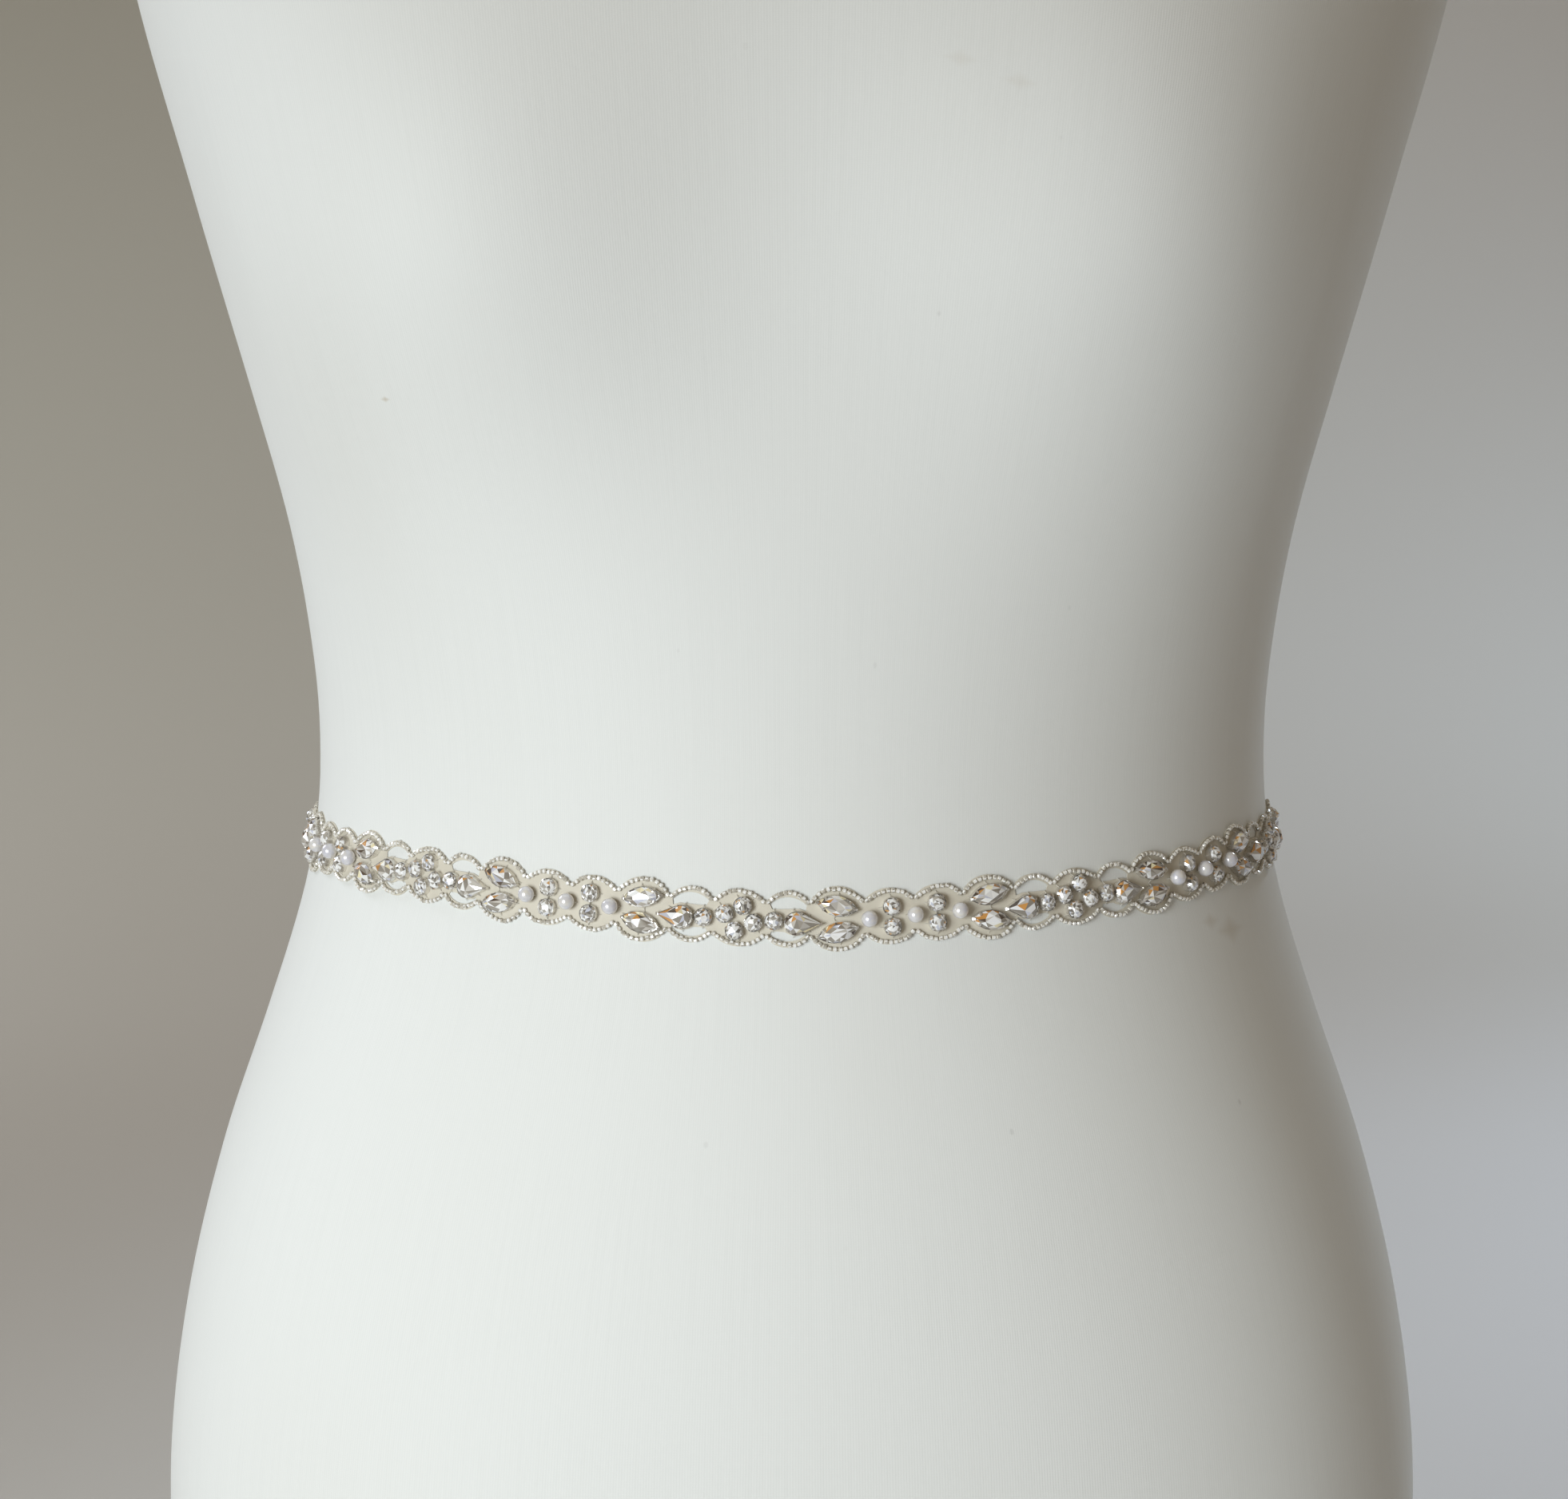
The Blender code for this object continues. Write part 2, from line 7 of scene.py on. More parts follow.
import logging  # noqa: E402
import math  # noqa: E402
import random  # noqa: E402
from collections.abc import Callable, Iterator, Sequence  # noqa: E402
from dataclasses import dataclass, field  # noqa: E402
from enum import Enum  # noqa: E402
from typing import NamedTuple  # noqa: E402

import bmesh  # noqa: E402
import bpy  # noqa: E402
from mathutils import Matrix, Vector  # noqa: E402


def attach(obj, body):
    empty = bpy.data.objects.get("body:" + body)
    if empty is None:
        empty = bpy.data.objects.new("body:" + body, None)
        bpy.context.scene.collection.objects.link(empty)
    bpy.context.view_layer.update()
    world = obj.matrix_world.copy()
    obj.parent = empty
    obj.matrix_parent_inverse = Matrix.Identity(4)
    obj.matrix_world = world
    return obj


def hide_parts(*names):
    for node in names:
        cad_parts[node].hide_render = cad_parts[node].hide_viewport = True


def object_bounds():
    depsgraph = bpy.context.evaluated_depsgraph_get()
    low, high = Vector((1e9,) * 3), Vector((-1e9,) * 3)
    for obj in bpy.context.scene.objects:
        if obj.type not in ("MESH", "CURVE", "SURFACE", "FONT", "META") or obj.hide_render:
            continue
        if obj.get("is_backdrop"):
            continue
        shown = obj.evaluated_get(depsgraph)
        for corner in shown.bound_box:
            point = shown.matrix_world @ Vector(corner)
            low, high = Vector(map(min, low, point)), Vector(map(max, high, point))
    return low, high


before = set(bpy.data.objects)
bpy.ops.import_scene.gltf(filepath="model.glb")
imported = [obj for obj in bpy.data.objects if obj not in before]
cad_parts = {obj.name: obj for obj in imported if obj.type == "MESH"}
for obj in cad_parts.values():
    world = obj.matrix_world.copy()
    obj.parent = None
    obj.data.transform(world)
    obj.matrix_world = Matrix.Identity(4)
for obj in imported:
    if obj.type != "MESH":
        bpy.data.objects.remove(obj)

log = logging.getLogger("bridal_sash")

MM = 0.001
MARQUISE_HALF = (5.0 * MM, 2.5 * MM)
TEARDROP_RADIUS, TEARDROP_TIP = 2.9 * MM, 6.1 * MM
CHATON_RADIUS, PEARL_RADIUS = 2.2 * MM, 2.0 * MM
BODY = "root"
TINT = "tint"
CLOTH_UV = "cloth"
SAME_PLACE = 1e-5
ON_CUT = 1e-7
Colour = tuple[float, float, float]
Flat = tuple[float, float]
Ramp = tuple[float, float, float, float]


class Side(Enum):
    """A panel of the form's jersey cover."""

    FRONT = "front"
    BACK = "back"


class Kind(Enum):
    """What is sewn to the trim."""

    MARQUISE = "marquise"
    TEARDROP = "teardrop"
    CHATON = "chaton"
    PEARL = "pearl"


# ---------------------------------------------------------------- finishes


class Graph:
    """One material and a short way to wire its nodes."""

    def __init__(self, name: str) -> None:
        """Starts a material.

        Args:
            name: The material's name.
        """
        self.material = bpy.data.materials.new(name)
        self.material.use_nodes = True
        self.nodes = self.material.node_tree.nodes
        self.links = self.material.node_tree.links
        self.shader = self.nodes["Principled BSDF"]

    def feed(self, socket: bpy.types.NodeSocket, value: object) -> None:
        """Links a socket to another one, or sets its number or colour."""
        if isinstance(value, bpy.types.NodeSocket):
            self.links.new(value, socket)
        elif isinstance(value, tuple) and socket.type == "RGBA":
            socket.default_value = (*value[:3], 1.0)
        else:
            socket.default_value = value

    def surface(self, **values: object) -> None:
        """Feeds the shader's sockets, named with _ for a space."""
        for name, value in values.items():
            self.feed(self.shader.inputs[name.replace("_", " ")], value)

    def add(self, kind: str, inputs: dict | None = None, **settings: object) -> bpy.types.Node:
        """Adds a node.

        Args:
            kind: The node's type, without its ShaderNode prefix.
            inputs: Its sockets' numbers, colours or links.
            **settings: Its own settings.

        Returns:
            The node.
        """
        node = self.nodes.new("ShaderNode" + kind)
        for name, value in settings.items():
            setattr(node, name, value)
        for name, value in (inputs or {}).items():
            self.feed(node.inputs[name], value)
        return node

    def math(self, operation: str, *values: object) -> bpy.types.NodeSocket:
        """The result of a Math node on numbers or sockets."""
        return self.add("Math", dict(enumerate(values)), operation=operation).outputs[0]

    def ramp(self, value: object, low: float, high: float, start: float = 0.0, end: float = 1.0):
        """A smooth step of a value from low to high, as a number from start to end."""
        inputs = {"Value": value, "From Min": low, "From Max": high, "To Min": start, "To Max": end}
        return self.add("MapRange", inputs, interpolation_type="SMOOTHSTEP").outputs[0]

    def mix(self, share: object, first: object, second: object, blend: str = "MIX"):
        """The colour between two colours."""
        node = self.add("Mix", data_type="RGBA", blend_type=blend)
        for index, value in ((0, share), (6, first), (7, second)):
            self.feed(node.inputs[index], value)
        return node.outputs[2]

    def noise(self, vector: object, scale: float, detail: float = 2.0) -> bpy.types.NodeSocket:
        """Soft noise from 0 to 1."""
        inputs = {"Vector": vector, "Scale": scale, "Detail": detail}
        return self.add("TexNoise", inputs).outputs["Fac"]

    def place(self) -> bpy.types.NodeSocket:
        """The point in the object's own metres."""
        return self.add("TexCoord").outputs["Object"]

    def cloth(self) -> tuple[bpy.types.NodeSocket, bpy.types.NodeSocket, bpy.types.NodeSocket]:
        """The point on the flat cloth, as a vector and as its metres across and along."""
        vector = self.add("UVMap", uv_map=CLOTH_UV).outputs[0]
        split = self.add("SeparateXYZ", {0: vector})
        return vector, split.outputs[0], split.outputs[1]

    def scaled(self, vector: object, scale: tuple[float, float, float]) -> bpy.types.NodeSocket:
        """A vector times three numbers."""
        return self.add("VectorMath", {0: vector, 1: scale}, operation="MULTIPLY").outputs[0]

    def wave(self, value: object, pitch: float) -> bpy.types.NodeSocket:
        """A wave from 0 to 1 that repeats once in each pitch of a value in metres."""
        turn = self.math("MULTIPLY", value, math.tau / pitch)
        return self.math("MULTIPLY_ADD", self.math("COSINE", turn), 0.5, 0.5)

    def bump(self, height: object, depth: float, strength: float = 1.0) -> None:
        """Gives the surface a relief of a depth in metres."""
        inputs = {"Height": height, "Distance": depth, "Strength": strength}
        self.surface(Normal=self.add("Bump", inputs).outputs[0])


class Mark(NamedTuple):
    """A faint mark on each panel of the cover, a stain or the painted shade of a tiny pin dent: its place on
    the flat cloth, its reach and its strength.
    """

    across: float
    along: float
    reach: float
    strength: float


@dataclass(frozen=True)
class Jersey:
    """Fine off-white cotton jersey with upright wales and painted shade in the grooves between them, a little
    marked by pins and handling, with painted shade in two tiny pin dents.
    """

    colour: Colour = (0.775, 0.785, 0.755)
    # Painted shade colour for the grooves between the wales and courses.
    groove_shade: Colour = (0.665, 0.675, 0.645)
    # Colour of the cloudy soiling and marks, and of the painted shade in two tiny pin dents.
    soil_and_dent_shade: Colour = (0.60, 0.56, 0.48)
    pin_mark: Colour = (0.40, 0.39, 0.36)
    wale: float = 0.56 * MM
    course: float = 0.42 * MM
    relief: float = 0.014 * MM
    streak_scale: tuple[float, float, float] = (1700.0, 14.0, 1.0)
    cloud_scale: float = 9.0
    speck_scale: tuple[float, float, float] = (95.0, 60.0, 1.0)
    speck_size: float = 0.032
    speck_share: float = 0.16
    speck_fade: float = 2.2
    speck_depth: Ramp = (0.2, 1.0, 0.04, 0.32)
    drift_scale: tuple[float, float, float] = (60.0, 60.0, 1.0)
    drift: float = 0.35
    course_share: float = 0.3
    groove_shade_depth: Ramp = (0.0, 1.0, 0.17, 0.0)
    streak_depth: Ramp = (0.35, 0.75, -0.04, 0.08)
    cloud_stretch: tuple[float, float, float] = (1.0, 0.7, 1.0)
    cloud_depth: Ramp = (0.45, 0.85, 0.0, 0.10)
    mark_flatness: float = 0.6
    marks: tuple[Mark, ...] = (
        Mark(0.1332, 0.2572, 5.0 * MM, 0.60),
        Mark(0.1253, 0.2603, 3.0 * MM, 0.50),
        # Painted shade: these two marks darken tiny pin dents too small for the mesh.
        Mark(0.0325, 0.4725, 2.8 * MM, 0.24),
        Mark(0.0444, 0.4693, 3.0 * MM, 0.24),
        Mark(-0.0992, 0.3991, 1.2 * MM, 1.0),
    )

    def material(self) -> bpy.types.Material:
        """The jersey's material, laid out on the panel's own flat cloth."""
        graph = Graph("jersey")
        vector, across, along = graph.cloth()
        drift = graph.noise(graph.scaled(vector, self.drift_scale), 1.0)
        bent = graph.math("MULTIPLY_ADD", drift, self.drift * self.wale, across)
        wale = graph.wave(bent, self.wale)
        course = graph.wave(along, self.course)
        row = graph.math("MULTIPLY_ADD", course, self.course_share, 1.0 - self.course_share)
        stitch = graph.math("MULTIPLY", wale, row)
        streak = graph.noise(graph.scaled(vector, self.streak_scale), 1.0, 3.0)
        # Painted shade: the grooves between the wales and courses are darkened.
        groove_shade = graph.ramp(stitch, *self.groove_shade_depth)
        shade = graph.math("ADD", groove_shade, graph.ramp(streak, *self.streak_depth))
        colour = graph.mix(shade, self.colour, self.groove_shade)
        clouds = graph.noise(graph.scaled(vector, self.cloud_stretch), self.cloud_scale, 4.0)
        colour = graph.mix(graph.ramp(clouds, *self.cloud_depth), colour, self.soil_and_dent_shade)
        colour = graph.mix(self.specks(graph, vector), colour, self.pin_mark)
        # Marks of handling and pins, with painted shade in two tiny pin dents.
        colour = graph.mix(self.soiling_and_dent_shade(graph, across, along), colour, self.soil_and_dent_shade)
        graph.surface(Base_Color=colour, Roughness=0.86, Sheen_Weight=0.12, Sheen_Roughness=0.5)
        graph.bump(graph.math("ADD", stitch, graph.math("MULTIPLY", streak, 0.5)), self.relief, 0.8)
        return graph.material

    def specks(self, graph: Graph, vector: bpy.types.NodeSocket) -> bpy.types.NodeSocket:
        """Sparse pin pricks and slubs: how dark the cloth is there."""
        cells = graph.add("TexVoronoi", {"Vector": graph.scaled(vector, self.speck_scale), "Scale": 1.0})
        faded = self.speck_fade * self.speck_size
        near = graph.ramp(cells.outputs["Distance"], self.speck_size, faded, 1.0, 0.0)
        pick = graph.add("SeparateColor", {0: cells.outputs["Color"]}).outputs[0]
        chosen = graph.math("LESS_THAN", pick, self.speck_share)
        depth = graph.add("SeparateColor", {0: cells.outputs["Color"]}).outputs[1]
        strength = graph.ramp(depth, *self.speck_depth)
        return graph.math("MULTIPLY", graph.math("MULTIPLY", near, chosen), strength)

    def soiling_and_dent_shade(self, graph: Graph, across: object, along: object) -> bpy.types.NodeSocket:
        """The few faint marks of handling and pins, and the painted shade of two tiny pin dents: how strong
        they are at a point.
        """
        total = 0.0
        for mark in self.marks:
            far_across = graph.math("ABSOLUTE", graph.math("SUBTRACT", across, mark.across))
            far_along = graph.math("ABSOLUTE", graph.math("SUBTRACT", along, mark.along))
            away = graph.math("ADD", graph.math("MULTIPLY", far_across, self.mark_flatness), far_along)
            total = graph.math("ADD", total, graph.ramp(away, 0.0, mark.reach, mark.strength, 0.0))
        return total


@dataclass(frozen=True)
class Net:
    """Fine ecru net, closely woven, with a slight silky sheen."""

    colour: Colour = (0.68, 0.63, 0.52)
    hole: Colour = (0.55, 0.51, 0.42)
    pitch: float = 0.45 * MM
    relief: float = 0.02 * MM
    hole_depth: Ramp = (0.25, 0.85, 0.30, 0.0)
    uneven_scale: float = 350.0
    uneven_depth: Ramp = (0.35, 0.7, 0.0, 0.18)

    def material(self) -> bpy.types.Material:
        """The net's material: threads crossing on the bias."""
        graph = Graph("net")
        vector, across, along = graph.cloth()
        one = graph.wave(graph.math("ADD", across, along), self.pitch)
        other = graph.wave(graph.math("SUBTRACT", across, along), self.pitch)
        thread = graph.math("MAXIMUM", one, other)
        uneven = graph.noise(vector, self.uneven_scale, 3.0)
        hole = graph.ramp(thread, *self.hole_depth)
        colour = graph.mix(hole, self.colour, self.hole)
        colour = graph.mix(graph.ramp(uneven, *self.uneven_depth), colour, self.hole)
        graph.surface(Base_Color=colour, Roughness=0.62, Sheen_Weight=0.25, Sheen_Roughness=0.35)
        graph.bump(thread, self.relief)
        return graph.material


@dataclass(frozen=True)
class Tinted:
    """A bright finish whose pieces each carry their own tint, with painted glints, reflections and shade in
    it: cut crystal on foil, and silver-lined beads.
    """

    name: str
    metallic: float
    roughness: float
    coat: float
    coat_roughness: float
    haze: float
    haze_scale: float = 900.0
    haze_range: Flat = (0.3, 0.8)

    def material(self) -> bpy.types.Material:
        """The finish's material, with a faint haze of handling over its gloss."""
        graph = Graph(self.name)
        tint = graph.add("Attribute", attribute_name=TINT).outputs["Color"]
        haze = graph.noise(graph.place(), self.haze_scale, 2.0)
        rough = graph.ramp(haze, *self.haze_range, self.roughness, self.roughness + self.haze)
        graph.surface(Base_Color=tint, Roughness=rough, Metallic=self.metallic)
        graph.surface(Coat_Weight=self.coat, Coat_Roughness=self.coat_roughness, Coat_IOR=1.56)
        return graph.material


@dataclass(frozen=True)
class Plated:
    """Bright plated metal, a little duller where fingers have been."""

    name: str
    colour: Colour
    dull: Colour
    roughness: float
    metallic: float = 1.0
    cloud_scale: float = 260.0
    cloud_range: Flat = (0.35, 0.75)
    dull_range: Flat = (0.3, 0.8)
    dull_share: float = 1.9
    scratch_scale: float = 2600.0
    relief: float = 0.012 * MM

    def material(self) -> bpy.types.Material:
        """The plating's material."""
        graph = Graph(self.name)
        place = graph.place()
        cloud = graph.noise(place, self.cloud_scale, 3.0)
        colour = graph.mix(graph.ramp(cloud, *self.cloud_range), self.colour, self.dull)
        rough = graph.ramp(cloud, *self.dull_range, self.roughness, self.dull_share * self.roughness)
        graph.surface(Base_Color=colour, Roughness=rough, Metallic=self.metallic)
        graph.bump(graph.noise(place, self.scratch_scale, 2.0), self.relief)
        return graph.material


@dataclass(frozen=True)
class Pearl:
    """A lustrous white bead, clouded at random between cool lilac and warm cream."""

    body: Colour = (0.80, 0.79, 0.80)
    lilac: Colour = (0.70, 0.70, 0.78)
    cream: Colour = (0.86, 0.82, 0.74)
    depth_scale: float = 260.0
    depth_range: Flat = (0.42, 0.62)
    uneven_scale: float = 900.0
    uneven_range: Flat = (0.3, 0.7)
    relief: float = 0.01 * MM

    def material(self) -> bpy.types.Material:
        """The pearl's material."""
        graph = Graph("pearl")
        place = graph.place()
        depth = graph.ramp(graph.noise(place, self.depth_scale, 2.0), *self.depth_range)
        uneven = graph.noise(place, self.uneven_scale, 3.0)
        colour = graph.mix(depth, self.cream, self.lilac)
        colour = graph.mix(graph.ramp(uneven, *self.uneven_range), self.body, colour)
        graph.surface(Base_Color=colour, Roughness=0.24, Metallic=0.22, Specular_IOR_Level=0.6)
        graph.surface(Coat_Weight=1.0, Coat_Roughness=0.10, Sheen_Weight=0.15, Sheen_Roughness=0.3)
        graph.bump(uneven, self.relief, 0.4)
        return graph.material


@dataclass(frozen=True)
class Thread:
    """Spun thread, with the twist that shows along it."""

    colour: Colour = (0.70, 0.67, 0.59)
    dark: Colour = (0.52, 0.49, 0.42)
    lay: tuple[float, float, float] = (1.0, 0.4, 1.3)
    ply: float = 0.25 * MM
    twist_share: float = 0.6
    relief: float = 0.03 * MM

    def material(self) -> bpy.types.Material:
        """The thread's material."""
        graph = Graph("thread")
        across = graph.add("VectorMath", {0: graph.place(), 1: self.lay}, operation="DOT_PRODUCT")
        twist = graph.wave(across.outputs[1], self.ply)
        shade = graph.math("MULTIPLY", twist, self.twist_share)
        graph.surface(Base_Color=graph.mix(shade, self.colour, self.dark))
        graph.surface(Roughness=0.55, Sheen_Weight=0.3, Sheen_Roughness=0.4)
        graph.bump(twist, self.relief)
        return graph.material


@dataclass(frozen=True)
class Satin:
    """Ivory satin ribbon: fine floats along it, and a silky gloss."""

    colour: Colour = (0.80, 0.765, 0.66)
    shade: Colour = (0.68, 0.645, 0.54)
    yarn: float = 0.16 * MM
    slub_scale: tuple[float, float, float] = (160.0, 2600.0, 1.0)
    slub_depth: Ramp = (0.3, 0.8, 0.0, 0.35)
    float_share: float = 0.25
    relief: float = 0.02 * MM

    def material(self) -> bpy.types.Material:
        """The satin's material."""
        graph = Graph("satin")
        vector, _, along = graph.cloth()
        floats = graph.wave(along, self.yarn)
        slub = graph.noise(graph.scaled(vector, self.slub_scale), 1.0, 3.0)
        tone = graph.math("MULTIPLY_ADD", floats, self.float_share, graph.ramp(slub, *self.slub_depth))
        graph.surface(Base_Color=graph.mix(tone, self.colour, self.shade), Roughness=0.36)
        graph.surface(Sheen_Weight=0.35, Sheen_Roughness=0.25, Anisotropic=0.5)
        graph.bump(graph.math("ADD", floats, slub), self.relief)
        return graph.material


@dataclass(frozen=True)
class Card:
    """Smooth pale board, as under the form's cover."""

    name: str
    colour: Colour
    fleck: Colour
    scale: float = 420.0
    fleck_depth: Ramp = (0.45, 0.75, 0.0, 0.5)
    relief: float = 0.05 * MM

    def material(self) -> bpy.types.Material:
        """The board's material."""
        graph = Graph(self.name)
        place = graph.place()
        grain = graph.noise(place, self.scale, 4.0)
        colour = graph.mix(graph.ramp(grain, *self.fleck_depth), self.colour, self.fleck)
        graph.surface(Base_Color=colour, Roughness=0.8)
        graph.bump(grain, self.relief)
        return graph.material


@dataclass(frozen=True)
class Paper:
    """The studio's plain pale paper with painted light: darker and warmer on the left, cooler and paler on
    the right.
    """

    # Painted light: the left is darker and warmer, the right paler and cooler.
    left: Colour = (0.57, 0.545, 0.50)
    right: Colour = (0.78, 0.79, 0.82)
    reach: Flat = (-0.4, 0.7)
    tooth_scale: float = 900.0
    relief: float = 0.03 * MM

    def material(self) -> bpy.types.Material:
        """The paper's material."""
        graph = Graph("paper")
        place = graph.place()
        across = graph.add("SeparateXYZ", {0: place}).outputs[0]
        # Painted light across the backdrop, from the darker warm left to the paler cool right.
        colour = graph.mix(graph.ramp(across, *self.reach), self.left, self.right)
        graph.surface(Base_Color=colour, Roughness=0.9)
        graph.bump(graph.noise(place, self.tooth_scale, 3.0), self.relief)
        return graph.material


@dataclass(frozen=True)
class Finishes:
    """Every material of the piece, made once."""

    jersey: bpy.types.Material = field(default_factory=lambda: Jersey().material())
    net: bpy.types.Material = field(default_factory=lambda: Net().material())
    crystal: bpy.types.Material = field(
        default_factory=lambda: Tinted("crystal", 0.05, 0.10, 1.0, 0.02, 0.06).material()
    )
    bead: bpy.types.Material = field(
        default_factory=lambda: Tinted("seed_bead", 0.08, 0.18, 1.0, 0.05, 0.10).material()
    )
    silver: bpy.types.Material = field(
        default_factory=lambda: Plated("silver", (0.84, 0.82, 0.78), (0.62, 0.59, 0.54), 0.18, 0.8).material()
    )
    nickel: bpy.types.Material = field(
        default_factory=lambda: Plated("nickel", (0.66, 0.65, 0.62), (0.50, 0.49, 0.46), 0.24).material()
    )
    pearl: bpy.types.Material = field(default_factory=lambda: Pearl().material())
    thread: bpy.types.Material = field(default_factory=lambda: Thread().material())
    satin: bpy.types.Material = field(default_factory=lambda: Satin().material())
    board: bpy.types.Material = field(
        default_factory=lambda: Card("form_board", (0.62, 0.60, 0.55), (0.50, 0.47, 0.41)).material()
    )


# ---------------------------------------------------------------- shapes that the pieces share


class Section(NamedTuple):
    """One level of the form: half its width, its depth to the front and back, its corners' fullness."""

    z: float
    half_width: float
    front: float
    back: float
    fullness: float


class Course(NamedTuple):
    """The height of the sash's centre line at a turn from the front towards +X."""

    degrees: float
    z: float


class Dent(NamedTuple):
    """A soft unevenness of the stretched cover: its place, reach and height, negative for a hollow."""

    x: float
    z: float
    reach: float
    height: float


def smooth_between(rows: Sequence[tuple], key: float) -> tuple:
    """Reads a table on a smooth curve through its rows.

    Args:
        rows: The table, in order of its first column.
        key: A value of the first column.

    Returns:
        A row of the same kind.
    """
    key = min(max(key, rows[0][0]), rows[-1][0])
    low = max(i for i in range(len(rows) - 1) if rows[i][0] <= key)
    before, start = rows[max(low - 1, 0)], rows[low]
    end, after = rows[low + 1], rows[min(low + 2, len(rows) - 1)]
    span = end[0] - start[0]
    f = (key - start[0]) / span
    values = []
    for a, b, c, d in zip(before, start, end, after):
        slope_start = (c - a) / (end[0] - before[0]) * span
        slope_end = (d - b) / (after[0] - start[0]) * span
        values.append(
            (2 * f**3 - 3 * f**2 + 1) * b
            + (f**3 - 2 * f**2 + f) * slope_start
            + (3 * f**2 - 2 * f**3) * c
            + (f**3 - f**2) * slope_end
        )
    return type(start)(*values)


@dataclass(frozen=True)
class FormShape:
    """The limbless torso's smooth surface."""

    sections: tuple[Section, ...] = (
        Section(0.0000, 0.1610, 0.1060, 0.0930, 0.08),
        Section(0.0450, 0.1662, 0.1095, 0.0975, 0.08),
        Section(0.0850, 0.1672, 0.1115, 0.1000, 0.08),
        Section(0.1280, 0.1620, 0.1130, 0.0975, 0.07),
        Section(0.1700, 0.1518, 0.1125, 0.0885, 0.05),
        Section(0.2070, 0.1391, 0.1095, 0.0790, 0.03),
        Section(0.2330, 0.1307, 0.1065, 0.0720, 0.01),
        Section(0.2520, 0.1263, 0.1050, 0.0685, 0.00),
        Section(0.2710, 0.1244, 0.1035, 0.0670, 0.00),
        Section(0.2960, 0.1251, 0.1035, 0.0680, 0.01),
        Section(0.3330, 0.1306, 0.1060, 0.0725, 0.03),
        Section(0.3710, 0.1402, 0.1095, 0.0770, 0.05),
        Section(0.4200, 0.1538, 0.1160, 0.0835, 0.06),
        Section(0.4700, 0.1678, 0.1170, 0.0880, 0.06),
        Section(0.5300, 0.1800, 0.1080, 0.0900, 0.07),
        Section(0.5750, 0.1830, 0.0960, 0.0840, 0.08),
        Section(0.6050, 0.1765, 0.0840, 0.0735, 0.08),
        Section(0.6250, 0.1500, 0.0730, 0.0630, 0.05),
        Section(0.6400, 0.1135, 0.0650, 0.0560, 0.03),
        Section(0.6550, 0.0850, 0.0595, 0.0520, 0.00),
        Section(0.6720, 0.0660, 0.0550, 0.0490, 0.00),
        Section(0.7000, 0.0570, 0.0520, 0.0470, 0.00),
        Section(0.7450, 0.0540, 0.0510, 0.0460, 0.00),
    )
    edge: float = 5 * MM
    bust_x: float = 0.094
    bust_z: float = 0.415
    bust_rise: float = 33 * MM
    bust_across: float = 48 * MM
    bust_up: float = 55 * MM
    bust_down: float = 45 * MM
    bust_full_from: float = 0.5

    @property
    def top(self) -> float:
        """The height of the neck's flat top."""
        return self.sections[-1].z

    def edge_inset(self, z: float) -> float:
        """How far the surface draws in at the rounded edges of the base and of the neck's top."""
        depth = min(max(self.edge - min(z, self.top - z), 0.0), self.edge)
        return self.edge - math.sqrt(self.edge**2 - depth**2)

    def bust(self, x: float, z: float) -> float:
        """How far the front stands out for its two low mounds."""
        up = (z - self.bust_z) / (self.bust_up if z > self.bust_z else self.bust_down)
        rise = 0.0
        for centre in (-self.bust_x, self.bust_x):
            across = (x - centre) / self.bust_across
            rise += self.bust_rise * math.exp(-0.5 * (across**2 + up**2))
        return rise

    def point(self, angle: float, z: float, inwards: float = 0.0) -> Vector:
        """A point of the surface.

        Args:
            angle: The turn from the centre front towards +X.
            z: The height.
            inwards: How far inside the surface the point is.

        Returns:
            The point.
        """
        row = smooth_between(self.sections, z)
        across, ahead = math.sin(angle), math.cos(angle)
        inset = self.edge_inset(z) + inwards
        x = (row.half_width - inset) * across * (1 + row.fullness * ahead**2)
        depth = (row.front if ahead > 0 else row.back) - inset
        y = -depth * ahead * (1 + row.fullness * across**2)
        if ahead > 0:
            y -= self.bust(x, z) * min(1.0, ahead / self.bust_full_from)
        return Vector((x, y, z))


